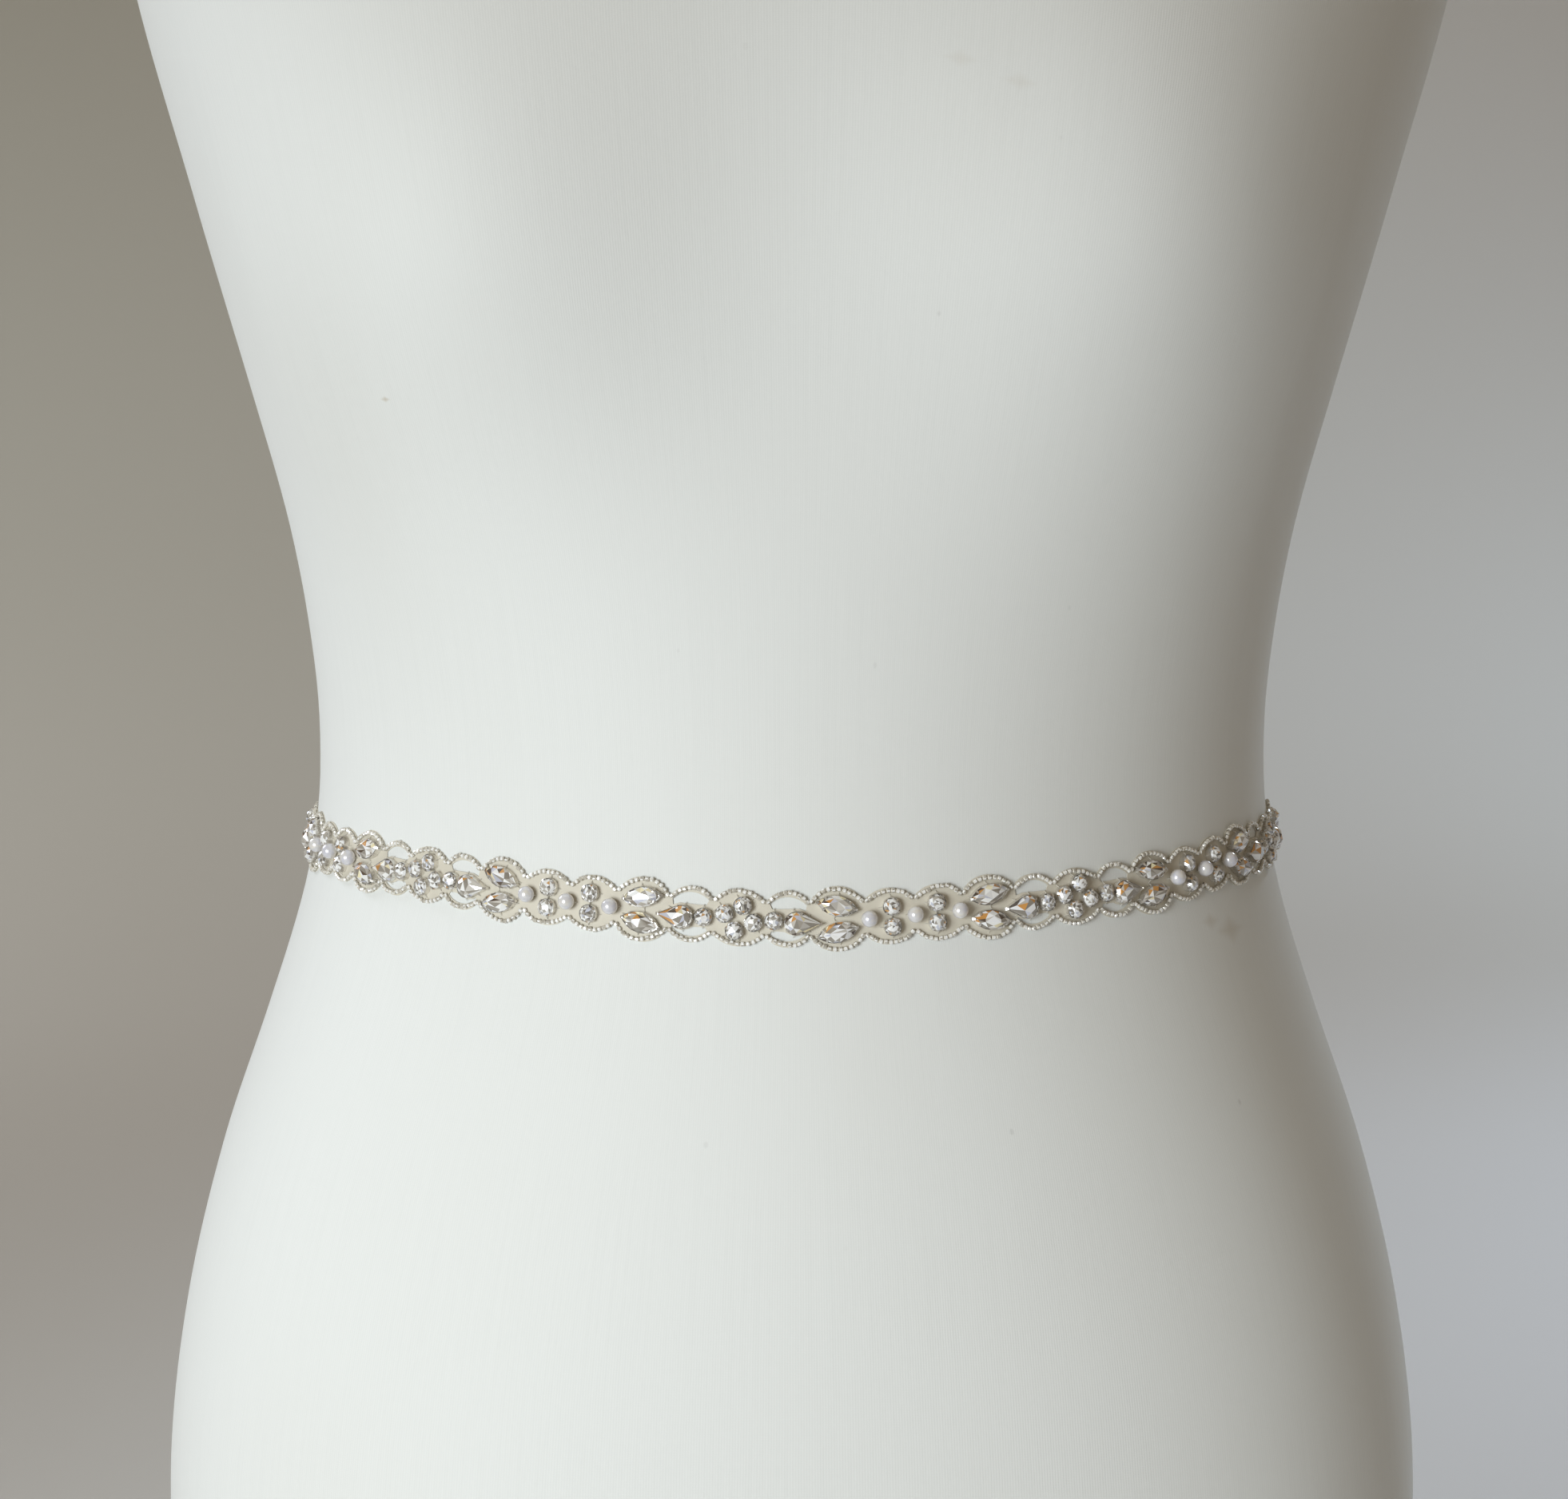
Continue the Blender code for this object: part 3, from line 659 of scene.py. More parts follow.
@dataclass
class WaistPath:
    """The sash's middle line round the form, by the length s from the centre front towards +X."""

    form: FormShape
    gap: float = 0.7 * MM
    wall: float = 1.0 * MM
    steps: int = 720
    slope_step: float = 0.002
    course: tuple[Course, ...] = (
        Course(-180, 0.2550),
        Course(-125, 0.2547),
        Course(-90, 0.2535),
        Course(-63, 0.2541),
        Course(-45, 0.2536),
        Course(-23, 0.2508),
        Course(0, 0.2482),
        Course(23, 0.2500),
        Course(45, 0.2520),
        Course(63, 0.2542),
        Course(90, 0.2539),
        Course(125, 0.2547),
        Course(180, 0.2550),
    )

    def __post_init__(self) -> None:
        """Walks round the form once and keeps the line's points and directions."""
        angles = [math.tau * i / self.steps for i in range(self.steps + 1)]
        walked = [self.middle(angle) for angle in angles]
        self.points = [point for point, out in walked]
        self.outs = [out for point, out in walked]
        self.lengths = [0.0]
        for start, end in zip(self.points, self.points[1:]):
            self.lengths.append(self.lengths[-1] + (end - start).length)
        self.length = self.lengths[-1]

    def middle(self, angle: float) -> tuple[Vector, Vector]:
        """The middle of the sash's wall at an angle, and the direction out of the form there."""
        degrees = math.degrees((angle + math.pi) % math.tau - math.pi)
        z = smooth_between(self.course, degrees).z
        around = self.form.point(angle + self.slope_step, z) - self.form.point(angle - self.slope_step, z)
        upward = self.form.point(angle, z + self.slope_step) - self.form.point(angle, z - self.slope_step)
        out = around.cross(upward).normalized()
        return self.form.point(angle, z) + (self.gap + self.wall / 2) * out, out

    def frame_at(self, s: float) -> tuple[Vector, Vector, Vector, Vector]:
        """The line's point at a length, and the directions along, up and out of the sash there."""
        s %= self.length
        low, high = 0, self.steps
        while high - low > 1:
            half = (low + high) // 2
            low, high = (half, high) if self.lengths[half] <= s else (low, half)
        part = (s - self.lengths[low]) / (self.lengths[high] - self.lengths[low])
        point = self.points[low].lerp(self.points[high], part)
        out = self.outs[low].lerp(self.outs[high], part).normalized()
        chord = self.points[high] - self.points[low]
        before = self.points[low] - self.points[(low - 1) % self.steps]
        after = self.points[high % self.steps + 1] - self.points[high % self.steps]
        bend = before.lerp(chord, part + 0.5) if part < 0.5 else chord.lerp(after, part - 0.5)
        up = out.cross(bend.normalized()).normalized()
        return point, up.cross(out), up, out

    def place(self, s: float, h: float, t: float) -> Vector:
        """The point of space of the flat point (s, h, t)."""
        point, _, up, out = self.frame_at(s)
        return point + h * up + (t - self.wall / 2) * out

    def matrix(self, s: float, h: float, t: float, turn: float = 0.0) -> Matrix:
        """The place of a small piece on the sash.

        Args:
            s: The length along the sash.
            h: The height across it.
            t: The height out of it.
            turn: The piece's turn in the sash's own plane.

        Returns:
            A matrix that carries the piece's X along, Y up and Z out.
        """
        point, along, up, out = self.frame_at(s)
        turned = Matrix((along, up, out)).transposed().to_4x4()
        turned.translation = point + h * up + (t - self.wall / 2) * out
        return turned @ Matrix.Rotation(turn, 4, "Z")


class Cell(NamedTuple):
    """One cell of the trim, with a scallop above and one below."""

    kind: str
    width: float
    crest: float


class Setting(NamedTuple):
    """One stone: its distance u from the middle of a flower, its height h and its turn."""

    kind: Kind
    u: float
    h: float
    turn: float


class Window(NamedTuple):
    """A cutwork window: its side, and its edges under the beads and beside the stones."""

    side: int
    bead_edge: tuple[float, ...]
    stone_edge: tuple[Flat, ...]


class Cut(NamedTuple):
    """A join, by the flower that it is counted from and its distance from that flower's middle."""

    flower: int
    u: float


class Stretch(NamedTuple):
    """One length of the trim between two cuts, and the CAD node that it stands for."""

    name: str
    node: str
    start: float
    end: float


@dataclass
class Trim:
    """The flat layout of the beaded trim: its cells, scalloped edge, windows and stones."""

    length: float
    repeats: int = 8
    cells: tuple[Cell, ...] = (
        Cell("flower", 12.9 * MM, 6.40 * MM),
        Cell("drop", 10.6 * MM, 6.30 * MM),
        Cell("leaf", 13.2 * MM, 7.35 * MM),
        Cell("pair", 12.2 * MM, 6.30 * MM),
        Cell("pair", 12.2 * MM, 6.30 * MM),
        Cell("leaf", 13.2 * MM, 7.35 * MM),
        Cell("drop", 10.6 * MM, 6.30 * MM),
    )
    valley: float = 3.5 * MM
    margin: float = 0.58 * MM
    clear_of_cut: float = 0.25 * MM
    scallop_steps: int = 12
    flower_centre: float = -13.1 * MM
    flower_stones: int = 4
    flower_half_length: float = 3.65 * MM
    flower_half_height: float = 3.2 * MM
    flower_turn: float = math.radians(-15)
    flower_stone_turn: float = math.radians(30)
    half_repeat: tuple[Setting, ...] = (
        Setting(Kind.CHATON, 8.5 * MM, -0.3 * MM, 0.0),
        Setting(Kind.TEARDROP, 13.8 * MM, -0.8 * MM, 0.0),
        Setting(Kind.MARQUISE, 23.65 * MM, 3.15 * MM, math.radians(-12)),
        Setting(Kind.MARQUISE, 23.65 * MM, -3.15 * MM, math.radians(12)),
        Setting(Kind.PEARL, 31.4 * MM, 0.0, 0.0),
        Setting(Kind.CHATON, 36.95 * MM, 2.5 * MM, 0.0),
        Setting(Kind.CHATON, 36.95 * MM, -2.5 * MM, 0.0),
    )
    hand_seed: int = 7
    hand_shift: float = 0.10 * MM
    hand_turn: float = math.radians(4)
    window_inset: float = 0.95 * MM
    window_list: tuple[Window, ...] = (
        Window(
            1,
            (7.4 * MM, 9.0 * MM, 11.0 * MM, 13.2 * MM, 15.2 * MM, 16.4 * MM),
            ((16.2 * MM, 2.0 * MM), (14.6 * MM, 2.55 * MM), (10.6 * MM, 2.45 * MM), (8.0 * MM, 2.4 * MM)),
        ),
        Window(
            -1,
            (7.5 * MM, 9.0 * MM, 11.0 * MM, 13.2 * MM, 15.2 * MM, 16.2 * MM),
            (
                (16.0 * MM, 3.2 * MM),
                (15.3 * MM, 3.75 * MM),
                (13.8 * MM, 4.05 * MM),
                (12.2 * MM, 3.65 * MM),
                (11.0 * MM, 3.05 * MM),
                (8.0 * MM, 2.95 * MM),
            ),
        ),
    )
    window_curve_steps: int = 4

    def __post_init__(self) -> None:
        """Spreads the repeats evenly over the loop."""
        self.nominal = sum(cell.width for cell in self.cells)
        self.repeat = self.length / self.repeats
        self.stretch = self.repeat / self.nominal

    def along(self, flower: int, u: float) -> float:
        """The length s of a place at the nominal distance u from the middle of a flower."""
        return self.flower_centre + flower * self.repeat + u * self.stretch

    def placed_cells(self) -> Iterator[tuple[Cell, float, float]]:
        """Each cell of the loop, counted past both of its ends, with its start and end along s."""
        for flower in range(-self.repeats, self.repeats + 1):
            start = self.along(flower, -self.cells[0].width / 2)
            for cell in self.cells:
                end = start + cell.width * self.stretch
                yield cell, start, end
                start = end

    def arc(self, cell: Cell) -> tuple[float, float]:
        """The radius of a cell's arc of beads, and half the angle that it spans."""
        half, rise = cell.width / 2, cell.crest - self.valley
        radius = (half**2 + rise**2) / (2 * rise)
        return radius, math.asin(half / radius)

    def bead_line(self, cell: Cell, part: float) -> float:
        """Height of the line of edge beads at a part, 0 to 1, of a cell."""
        radius, _ = self.arc(cell)
        return cell.crest - radius + math.sqrt(radius**2 - (cell.width / 2 * (2 * part - 1)) ** 2)

    def edge(self, start: float, end: float) -> list[Flat]:
        """The upper scalloped edge of the net between two cuts, as (s, h)."""
        points = []
        for cell, cell_start, cell_end in self.placed_cells():
            for i in range(self.scallop_steps):
                part = i / self.scallop_steps
                h = self.bead_line(cell, part) + self.margin
                points.append((cell_start + part * (cell_end - cell_start), h))
        ends = []
        for cut in (start, end):
            below = max(p for p in points if p[0] <= cut)
            above = min(p for p in points if p[0] > cut)
            part = (cut - below[0]) / (above[0] - below[0])
            ends.append((cut, below[1] + part * (above[1] - below[1])))
        clear = self.clear_of_cut
        return [ends[0], *(p for p in points if start + clear < p[0] < end - clear), ends[1]]

    def windows(self, start: float, end: float) -> Iterator[list[Flat]]:
        """The outline of each cutwork window between two cuts."""
        drop, drop_start = self.cells[1], self.cells[0].width / 2
        for flower in range(-self.repeats, self.repeats + 1):
            for hand in (-1, 1):
                for window in self.window_list:
                    first, last = window.bead_edge[0], window.bead_edge[-1]
                    steps = self.window_curve_steps * (len(window.bead_edge) - 1)
                    loop = []
                    for i in range(steps + 1):
                        u = first + (last - first) * i / steps
                        h = self.bead_line(drop, (u - drop_start) / drop.width) - self.window_inset
                        loop.append((u, h))
                    loop.extend(window.stone_edge)
                    placed = [(self.along(flower, hand * u), window.side * h) for u, h in loop]
                    if start < placed[0][0] < end:
                        yield placed

    def stones(self) -> Iterator[tuple[Kind, float, float, float]]:
        """Each stone's kind, s, h and turn, set by hand and so a little uneven."""
        hand_work = random.Random(self.hand_seed)
        for flower in range(-self.repeats // 2, self.repeats // 2 + 1):
            settings = []
            for i in range(self.flower_stones):
                angle = i * math.tau / self.flower_stones
                x, y = self.flower_half_length * math.cos(angle), self.flower_half_height * math.sin(angle)
                u = x * math.cos(self.flower_turn) - y * math.sin(self.flower_turn)
                h = x * math.sin(self.flower_turn) + y * math.cos(self.flower_turn)
                settings.append(Setting(Kind.CHATON, u, h, self.flower_stone_turn))
            for hand in (1, -1):
                for item in self.half_repeat:
                    turn = item.turn if hand > 0 else math.pi - item.turn
                    settings.append(Setting(item.kind, hand * item.u, item.h, turn))
            settings.append(Setting(Kind.PEARL, self.nominal / 2, 0.0, 0.0))
            for kind, u, h, turn in settings:
                s = self.along(flower, u) + hand_work.uniform(-self.hand_shift, self.hand_shift)
                h += hand_work.uniform(-self.hand_shift, self.hand_shift)
                yield kind, s, h, turn + hand_work.uniform(-self.hand_turn, self.hand_turn)


# ---------------------------------------------------------------- mesh work


def outline_radius(kind: Kind, angle: float) -> Flat:
    """A stone's outline at an angle round its own centre, for a stone of unit size.

    Args:
        kind: The stone's kind.
        angle: The angle from its long axis.

    Returns:
        The point, in metres.
    """
    if kind is Kind.MARQUISE:
        half, side = MARQUISE_HALF
        radius = (half**2 + side**2) / (2 * side)
        x = half * math.cos(angle)
        return x, math.copysign(math.sqrt(radius**2 - x**2) - radius + side, math.sin(angle))
    if kind is Kind.TEARDROP:
        radius, tip = TEARDROP_RADIUS, TEARDROP_TIP
        touch = math.acos(radius / tip)
        away = abs((angle + math.pi) % math.tau - math.pi)
        reach = radius / math.cos(away - touch) if away < touch else radius
        return reach * math.cos(angle), reach * math.sin(angle)
    radius = CHATON_RADIUS if kind is Kind.CHATON else PEARL_RADIUS
    return radius * math.cos(angle), radius * math.sin(angle)


def finished(
    name: str, bm: bmesh.types.BMesh, material: bpy.types.Material, sharp: float = 35.0
) -> bpy.types.Object:
    """Makes a piece of a built mesh and lets it ride on the one body.

    Args:
        name: The piece's name.
        bm: The mesh, which is freed.
        material: Its finish.
        sharp: The angle in degrees past which an edge stays sharp.

    Returns:
        The piece.
    """
    mesh = bpy.data.meshes.new(name)
    bm.to_mesh(mesh)
    bm.free()
    mesh.shade_smooth()
    mesh.set_sharp_from_angle(angle=math.radians(sharp))
    mesh.materials.append(material)
    piece = bpy.data.objects.new(name, mesh)
    bpy.context.scene.collection.objects.link(piece)
    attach(piece, BODY)
    mesh.calc_loop_triangles()
    log.info("%s: %d triangles", name, len(mesh.loop_triangles))
    return piece


def template(bm: bmesh.types.BMesh) -> bpy.types.Mesh:
    """Keeps a small shape as a mesh that copies are made from."""
    mesh = bpy.data.meshes.new("template")
    bm.to_mesh(mesh)
    bm.free()
    return mesh


def lay_out(bm: bmesh.types.BMesh, flat_of: Callable[[bmesh.types.BMVert], Sequence[float]]) -> None:
    """Gives a mesh the UV map of its flat cloth in metres, from each corner's place on it."""
    layer = bm.loops.layers.uv.new(CLOTH_UV)
    for face in bm.faces:
        for loop in face.loops:
            loop[layer].uv = flat_of(loop.vert)


def face_up(bm: bmesh.types.BMesh) -> None:
    """Turns a flat mesh over when it faces down."""
    if next(iter(bm.faces)).normal.z < 0:
        bmesh.ops.reverse_faces(bm, faces=bm.faces[:])


def tube(sides: int, rows: int) -> bmesh.types.BMesh:
    """A closed cylinder of unit radius and height, cut across into rows."""
    bm = bmesh.new()
    bmesh.ops.create_cone(bm, cap_ends=True, segments=sides, radius1=1, radius2=1, depth=1)
    upright = [e for e in bm.edges if abs(e.verts[0].co.z - e.verts[1].co.z) > 0.5]
    bmesh.ops.subdivide_edges(bm, edges=upright, cuts=rows - 1, use_grid_fill=True)
    return bm


Tint = Callable[[bmesh.types.BMFace], Colour]


class Joined:
    """Many small copies gathered in one mesh, each with its own tint."""

    def __init__(self) -> None:
        """Starts an empty mesh."""
        self.bm = bmesh.new()
        self.layer = self.bm.loops.layers.float_color.new(TINT)

    def add(self, shape: bpy.types.Mesh, matrix: Matrix, tint: Tint | None = None) -> None:
        """Adds one copy.

        Args:
            shape: The mesh to copy.
            matrix: Where it goes.
            tint: Gives the colour of each face, before the copy is placed.
        """
        copy = shape.copy()
        first = len(self.bm.faces)
        corner = len(self.bm.verts)
        self.bm.from_mesh(copy)
        bpy.data.meshes.remove(copy)
        self.bm.faces.ensure_lookup_table()
        self.bm.verts.ensure_lookup_table()
        if tint:
            for face in self.bm.faces[first:]:
                face.normal_update()
                colour = (*tint(face), 1.0)
                for loop in face.loops:
                    loop[self.layer] = colour
        bmesh.ops.transform(self.bm, matrix=matrix, verts=self.bm.verts[corner:])

    def thread(self, points: Sequence[Vector], radius: float, sides: int = 5) -> None:
        """Adds a thread through points, closed at both ends.

        Args:
            points: The points that it follows.
            radius: Its radius.
            sides: The number of its sides.
        """
        rings = []
        for i, point in enumerate(points):
            ahead = points[min(i + 1, len(points) - 1)] - points[max(i - 1, 0)]
            turned = ahead.to_track_quat("Z", "Y").to_matrix().to_4x4()
            turned.translation = point
            end = i in (0, len(points) - 1)
            made = bmesh.ops.create_circle(
                self.bm, segments=sides, radius=radius, matrix=turned, cap_ends=end
            )
            rings.append([e for v in made["verts"] for e in v.link_edges])
        for lower, upper in zip(rings, rings[1:]):
            bmesh.ops.bridge_loops(self.bm, edges=list({*lower, *upper}))


# ---------------------------------------------------------------- the dress form


@dataclass
class DressForm:
    """The form: a board core, a jersey cover of two panels joined at the sides, and a covered neck top."""

    shape: FormShape
    finishes: Finishes
    columns: int = 92
    row_step: float = 5 * MM
    edge_rows: int = 5
    base_hem: float = 12 * MM
    neck_hem: float = 8 * MM
    seam: tuple[Flat, ...] = (
        (0.0, -0.45 * MM),
        (0.7 * MM, -0.12 * MM),
        (1.6 * MM, 0.12 * MM),
        (3.0 * MM, 0.0),
    )
    side_bend: float = 0.095
    core_inset: float = 1.4 * MM
    core_gap: float = 0.6 * MM
    cloth: float = 0.4 * MM
    stretch: float = 1.06
    cap_rim: float = -2 * MM
    cap_rise: float = 0.5 * MM
    cap_tuck: float = -0.25 * MM
    cap_slope: float = 0.045
    cap_rings: tuple[float, ...] = (1.0, 0.985, 0.955, 0.90, 0.62, 0.32)
    sides: int = 144
    dents: tuple[Dent, ...] = (
        Dent(0.0445, 0.4492, 0.0075, 0.30 * MM),
        Dent(0.0350, 0.4520, 0.0065, 0.20 * MM),
        Dent(0.0530, 0.4455, 0.0065, -0.25 * MM),
        Dent(0.0400, 0.4600, 0.0120, -0.25 * MM),
        Dent(-0.0700, 0.4600, 0.0260, -0.40 * MM),
        Dent(0.0450, 0.1500, 0.0330, -0.35 * MM),
        Dent(-0.0700, 0.1300, 0.0380, 0.35 * MM),
    )

    def rows(self) -> list[Flat]:
        """Each row of a panel, from its hem under the base to its hem on the neck, as (height, inwards)."""
        edge, top = self.shape.edge, self.shape.top
        rise = [edge * (1 - math.cos(math.pi / 2 * i / self.edge_rows)) for i in range(self.edge_rows + 1)]
        count = math.ceil((top - 2 * edge) / self.row_step)
        body = [edge + (top - 2 * edge) * i / count for i in range(1, count)]
        heights = rise + body + [top - z for z in reversed(rise)]
        base = [(0.0, self.base_hem), (0.0, self.base_hem / 2)]
        neck = [(top, self.neck_hem / 2), (top, self.neck_hem)]
        return base + [(z, 0.0) for z in heights] + neck

    def turns(self) -> list[Flat]:
        """Each column of a panel, as (turn from the panel's middle, relief of the side seam there)."""
        near = [(math.pi / 2 - away / self.side_bend, relief) for away, relief in self.seam]
        inner = near[-1][0]
        count = self.columns - 2 * (len(near) - 1)
        even = [(-inner + 2 * inner * i / count, 0.0) for i in range(1, count)]
        return [(-turn, relief) for turn, relief in near] + even + near[::-1]

    def relief(self, point: Vector) -> float:
        """How far the stretched cover stands out at a point of the front, for its small dents."""
        total = 0.0
        for dent in self.dents:
            away = ((point.x - dent.x) ** 2 + (point.z - dent.z) ** 2) / dent.reach**2
            total += dent.height * math.exp(-away)
        return total

    def panel(self, side: Side) -> bpy.types.Object:
        """Builds one panel of the cover.

        Args:
            side: Which panel.

        Returns:
            The piece, whose UV map is its flat cloth in metres.
        """
        rows, turns = self.rows(), self.turns()
        middle = 0.0 if side is Side.FRONT else math.pi
        bm = bmesh.new()
        bmesh.ops.create_grid(bm, x_segments=len(turns) - 1, y_segments=len(rows) - 1, size=1.0)
        grid: dict[tuple[int, int], bmesh.types.BMVert] = {}
        for vert in bm.verts:
            column = round((vert.co.x + 1) / 2 * (len(turns) - 1))
            row = round((vert.co.y + 1) / 2 * (len(rows) - 1))
            (turn, seam), (z, inwards) = turns[column], rows[row]
            flat = self.shape.point(middle + turn, z)
            out = seam + (self.relief(flat) if side is Side.FRONT else 0.0)
            vert.co = self.shape.point(middle + turn, z, inwards - out)
            grid[column, row] = vert
        half = len(turns) // 2
        widths, mean = [], [0.0] * len(turns)
        for row in range(len(rows)):
            across = [0.0]
            for column in range(1, len(turns)):
                across.append(across[-1] + (grid[column, row].co - grid[column - 1, row].co).length)
            widths.append(across[-1])
            mean = [total + here / len(rows) for total, here in zip(mean, across)]
        spread: dict[bmesh.types.BMVert, Flat] = {}
        for column in range(len(turns)):
            long = 0.0
            for row in range(len(rows)):
                if row:
                    long += (grid[column, row].co - grid[column, row - 1].co).length
                spread[grid[column, row]] = (mean[column] - mean[half], long)
        lay_out(bm, spread.get)
        area = sum(face.calc_area() for face in bm.faces) / self.stretch
        long = spread[grid[half, len(rows) - 1]][1]
        widest = max(widths)
        piece = finished(f"cover_{side.value}", bm, self.finishes.jersey, 60.0)
        wall = piece.modifiers.new("wall", "SOLIDIFY")
        wall.thickness = self.cloth
        wall.offset = -1.0
        flat = (widest, long)
        area = min(area, widest * long)
        return piece

    def core(self) -> bpy.types.Object:
        """Builds the closed board core inside the cover."""
        heights = [z for z, inwards in self.rows() if inwards == 0.0]
        bm = tube(self.sides, len(heights) - 1)
        for vert in bm.verts:
            z = heights[round((vert.co.z + 0.5) * (len(heights) - 1))]
            turn = math.atan2(vert.co.x, -vert.co.y)
            vert.co = self.shape.point(turn, z, self.core_inset)
            vert.co.z = min(max(z, self.core_gap), self.shape.top - self.core_gap)
        bmesh.ops.recalc_face_normals(bm, faces=bm.faces)
        piece = finished("form_core", bm, self.finishes.board, 50.0)
        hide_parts("dress_form")
        return piece

    def neck_top(self) -> bpy.types.Object:
        """Builds the jersey disc that covers the neck's top."""
        bm = bmesh.new()
        made = bmesh.ops.create_circle(bm, cap_ends=True, segments=self.sides, radius=1.0)
        inner = [made["verts"][0].link_faces[0]]
        for outer, ring in zip(self.cap_rings, self.cap_rings[1:]):
            bmesh.ops.inset_region(bm, faces=inner, thickness=outer - ring, use_even_offset=True)
        bmesh.ops.poke(bm, faces=inner)
        for vert in bm.verts:
            radius = min(vert.co.xy.length, 1.0)
            rim = self.shape.point(math.atan2(vert.co.x, -vert.co.y), self.shape.top, self.cap_rim)
            rise = self.cap_tuck + (self.cap_rise - self.cap_tuck) * min((1.0 - radius) / self.cap_slope, 1.0)
            vert.co = Vector((rim.x * radius, rim.y * radius, self.shape.top + rise))
        lay_out(bm, lambda vert: vert.co.xy)
        face_up(bm)
        area = sum(face.calc_area() for face in bm.faces)
        piece = finished("cover_neck", bm, self.finishes.jersey, 60.0)
        return piece

    def build(self) -> None:
        """Builds the whole form."""
        self.core()
        self.panel(Side.FRONT)
        self.panel(Side.BACK)
        self.neck_top()


# ---------------------------------------------------------------- the trim


@dataclass
class NetGround:
    """The net that everything is sewn to, cut to the scallops and open in its windows."""

    path: WaistPath
    trim: Trim
    material: bpy.types.Material
    lift: float = -0.55 * MM
    thickness: float = 0.22 * MM
    bend_step: float = 2.5 * MM

    @property
    def top(self) -> float:
        """The height of the net's outer face."""
        return self.lift + self.thickness

    def build(self, stretch: Stretch) -> tuple[bpy.types.Object, Flat, float]:
        """Builds the net of one length.

        Args:
            stretch: The length.

        Returns:
            The piece, its flat width and length, and its flat area.
        """
        bm = bmesh.new()
        upper = self.trim.edge(stretch.start, stretch.end)
        outline = [(s, -h) for s, h in upper] + upper[::-1]
        edges = []
        for loop in (outline, *self.trim.windows(stretch.start, stretch.end)):
            verts = [bm.verts.new((s, h, self.lift)) for s, h in loop]
            edges.extend(bm.edges.new(pair) for pair in zip(verts, verts[1:] + verts[:1]))
        bmesh.ops.triangle_fill(bm, use_beauty=True, use_dissolve=False, edges=edges)
        count = math.ceil((stretch.end - stretch.start) / self.bend_step)
        for i in range(1, count):
            cut = Vector((stretch.start + (stretch.end - stretch.start) * i / count, 0.0, 0.0))
            geometry = bm.verts[:] + bm.edges[:] + bm.faces[:]
            bmesh.ops.bisect_plane(bm, geom=geometry, dist=ON_CUT, plane_co=cut, plane_no=(1, 0, 0))
        bmesh.ops.triangulate(bm, faces=bm.faces[:])
        face_up(bm)
        lay_out(bm, lambda vert: vert.co.xy)
        area = sum(face.calc_area() for face in bm.faces)
        for vert in bm.verts:
            vert.co.z = self.top
        bmesh.ops.solidify(bm, geom=bm.faces[:], thickness=self.thickness)
        for vert in bm.verts:
            vert.co = self.path.place(*vert.co)
        piece = finished(f"net_{stretch.name}", bm, self.material)
        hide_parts(stretch.node)
        width = 2 * max(h for s, h in upper)
        return piece, (stretch.end - stretch.start, width), area


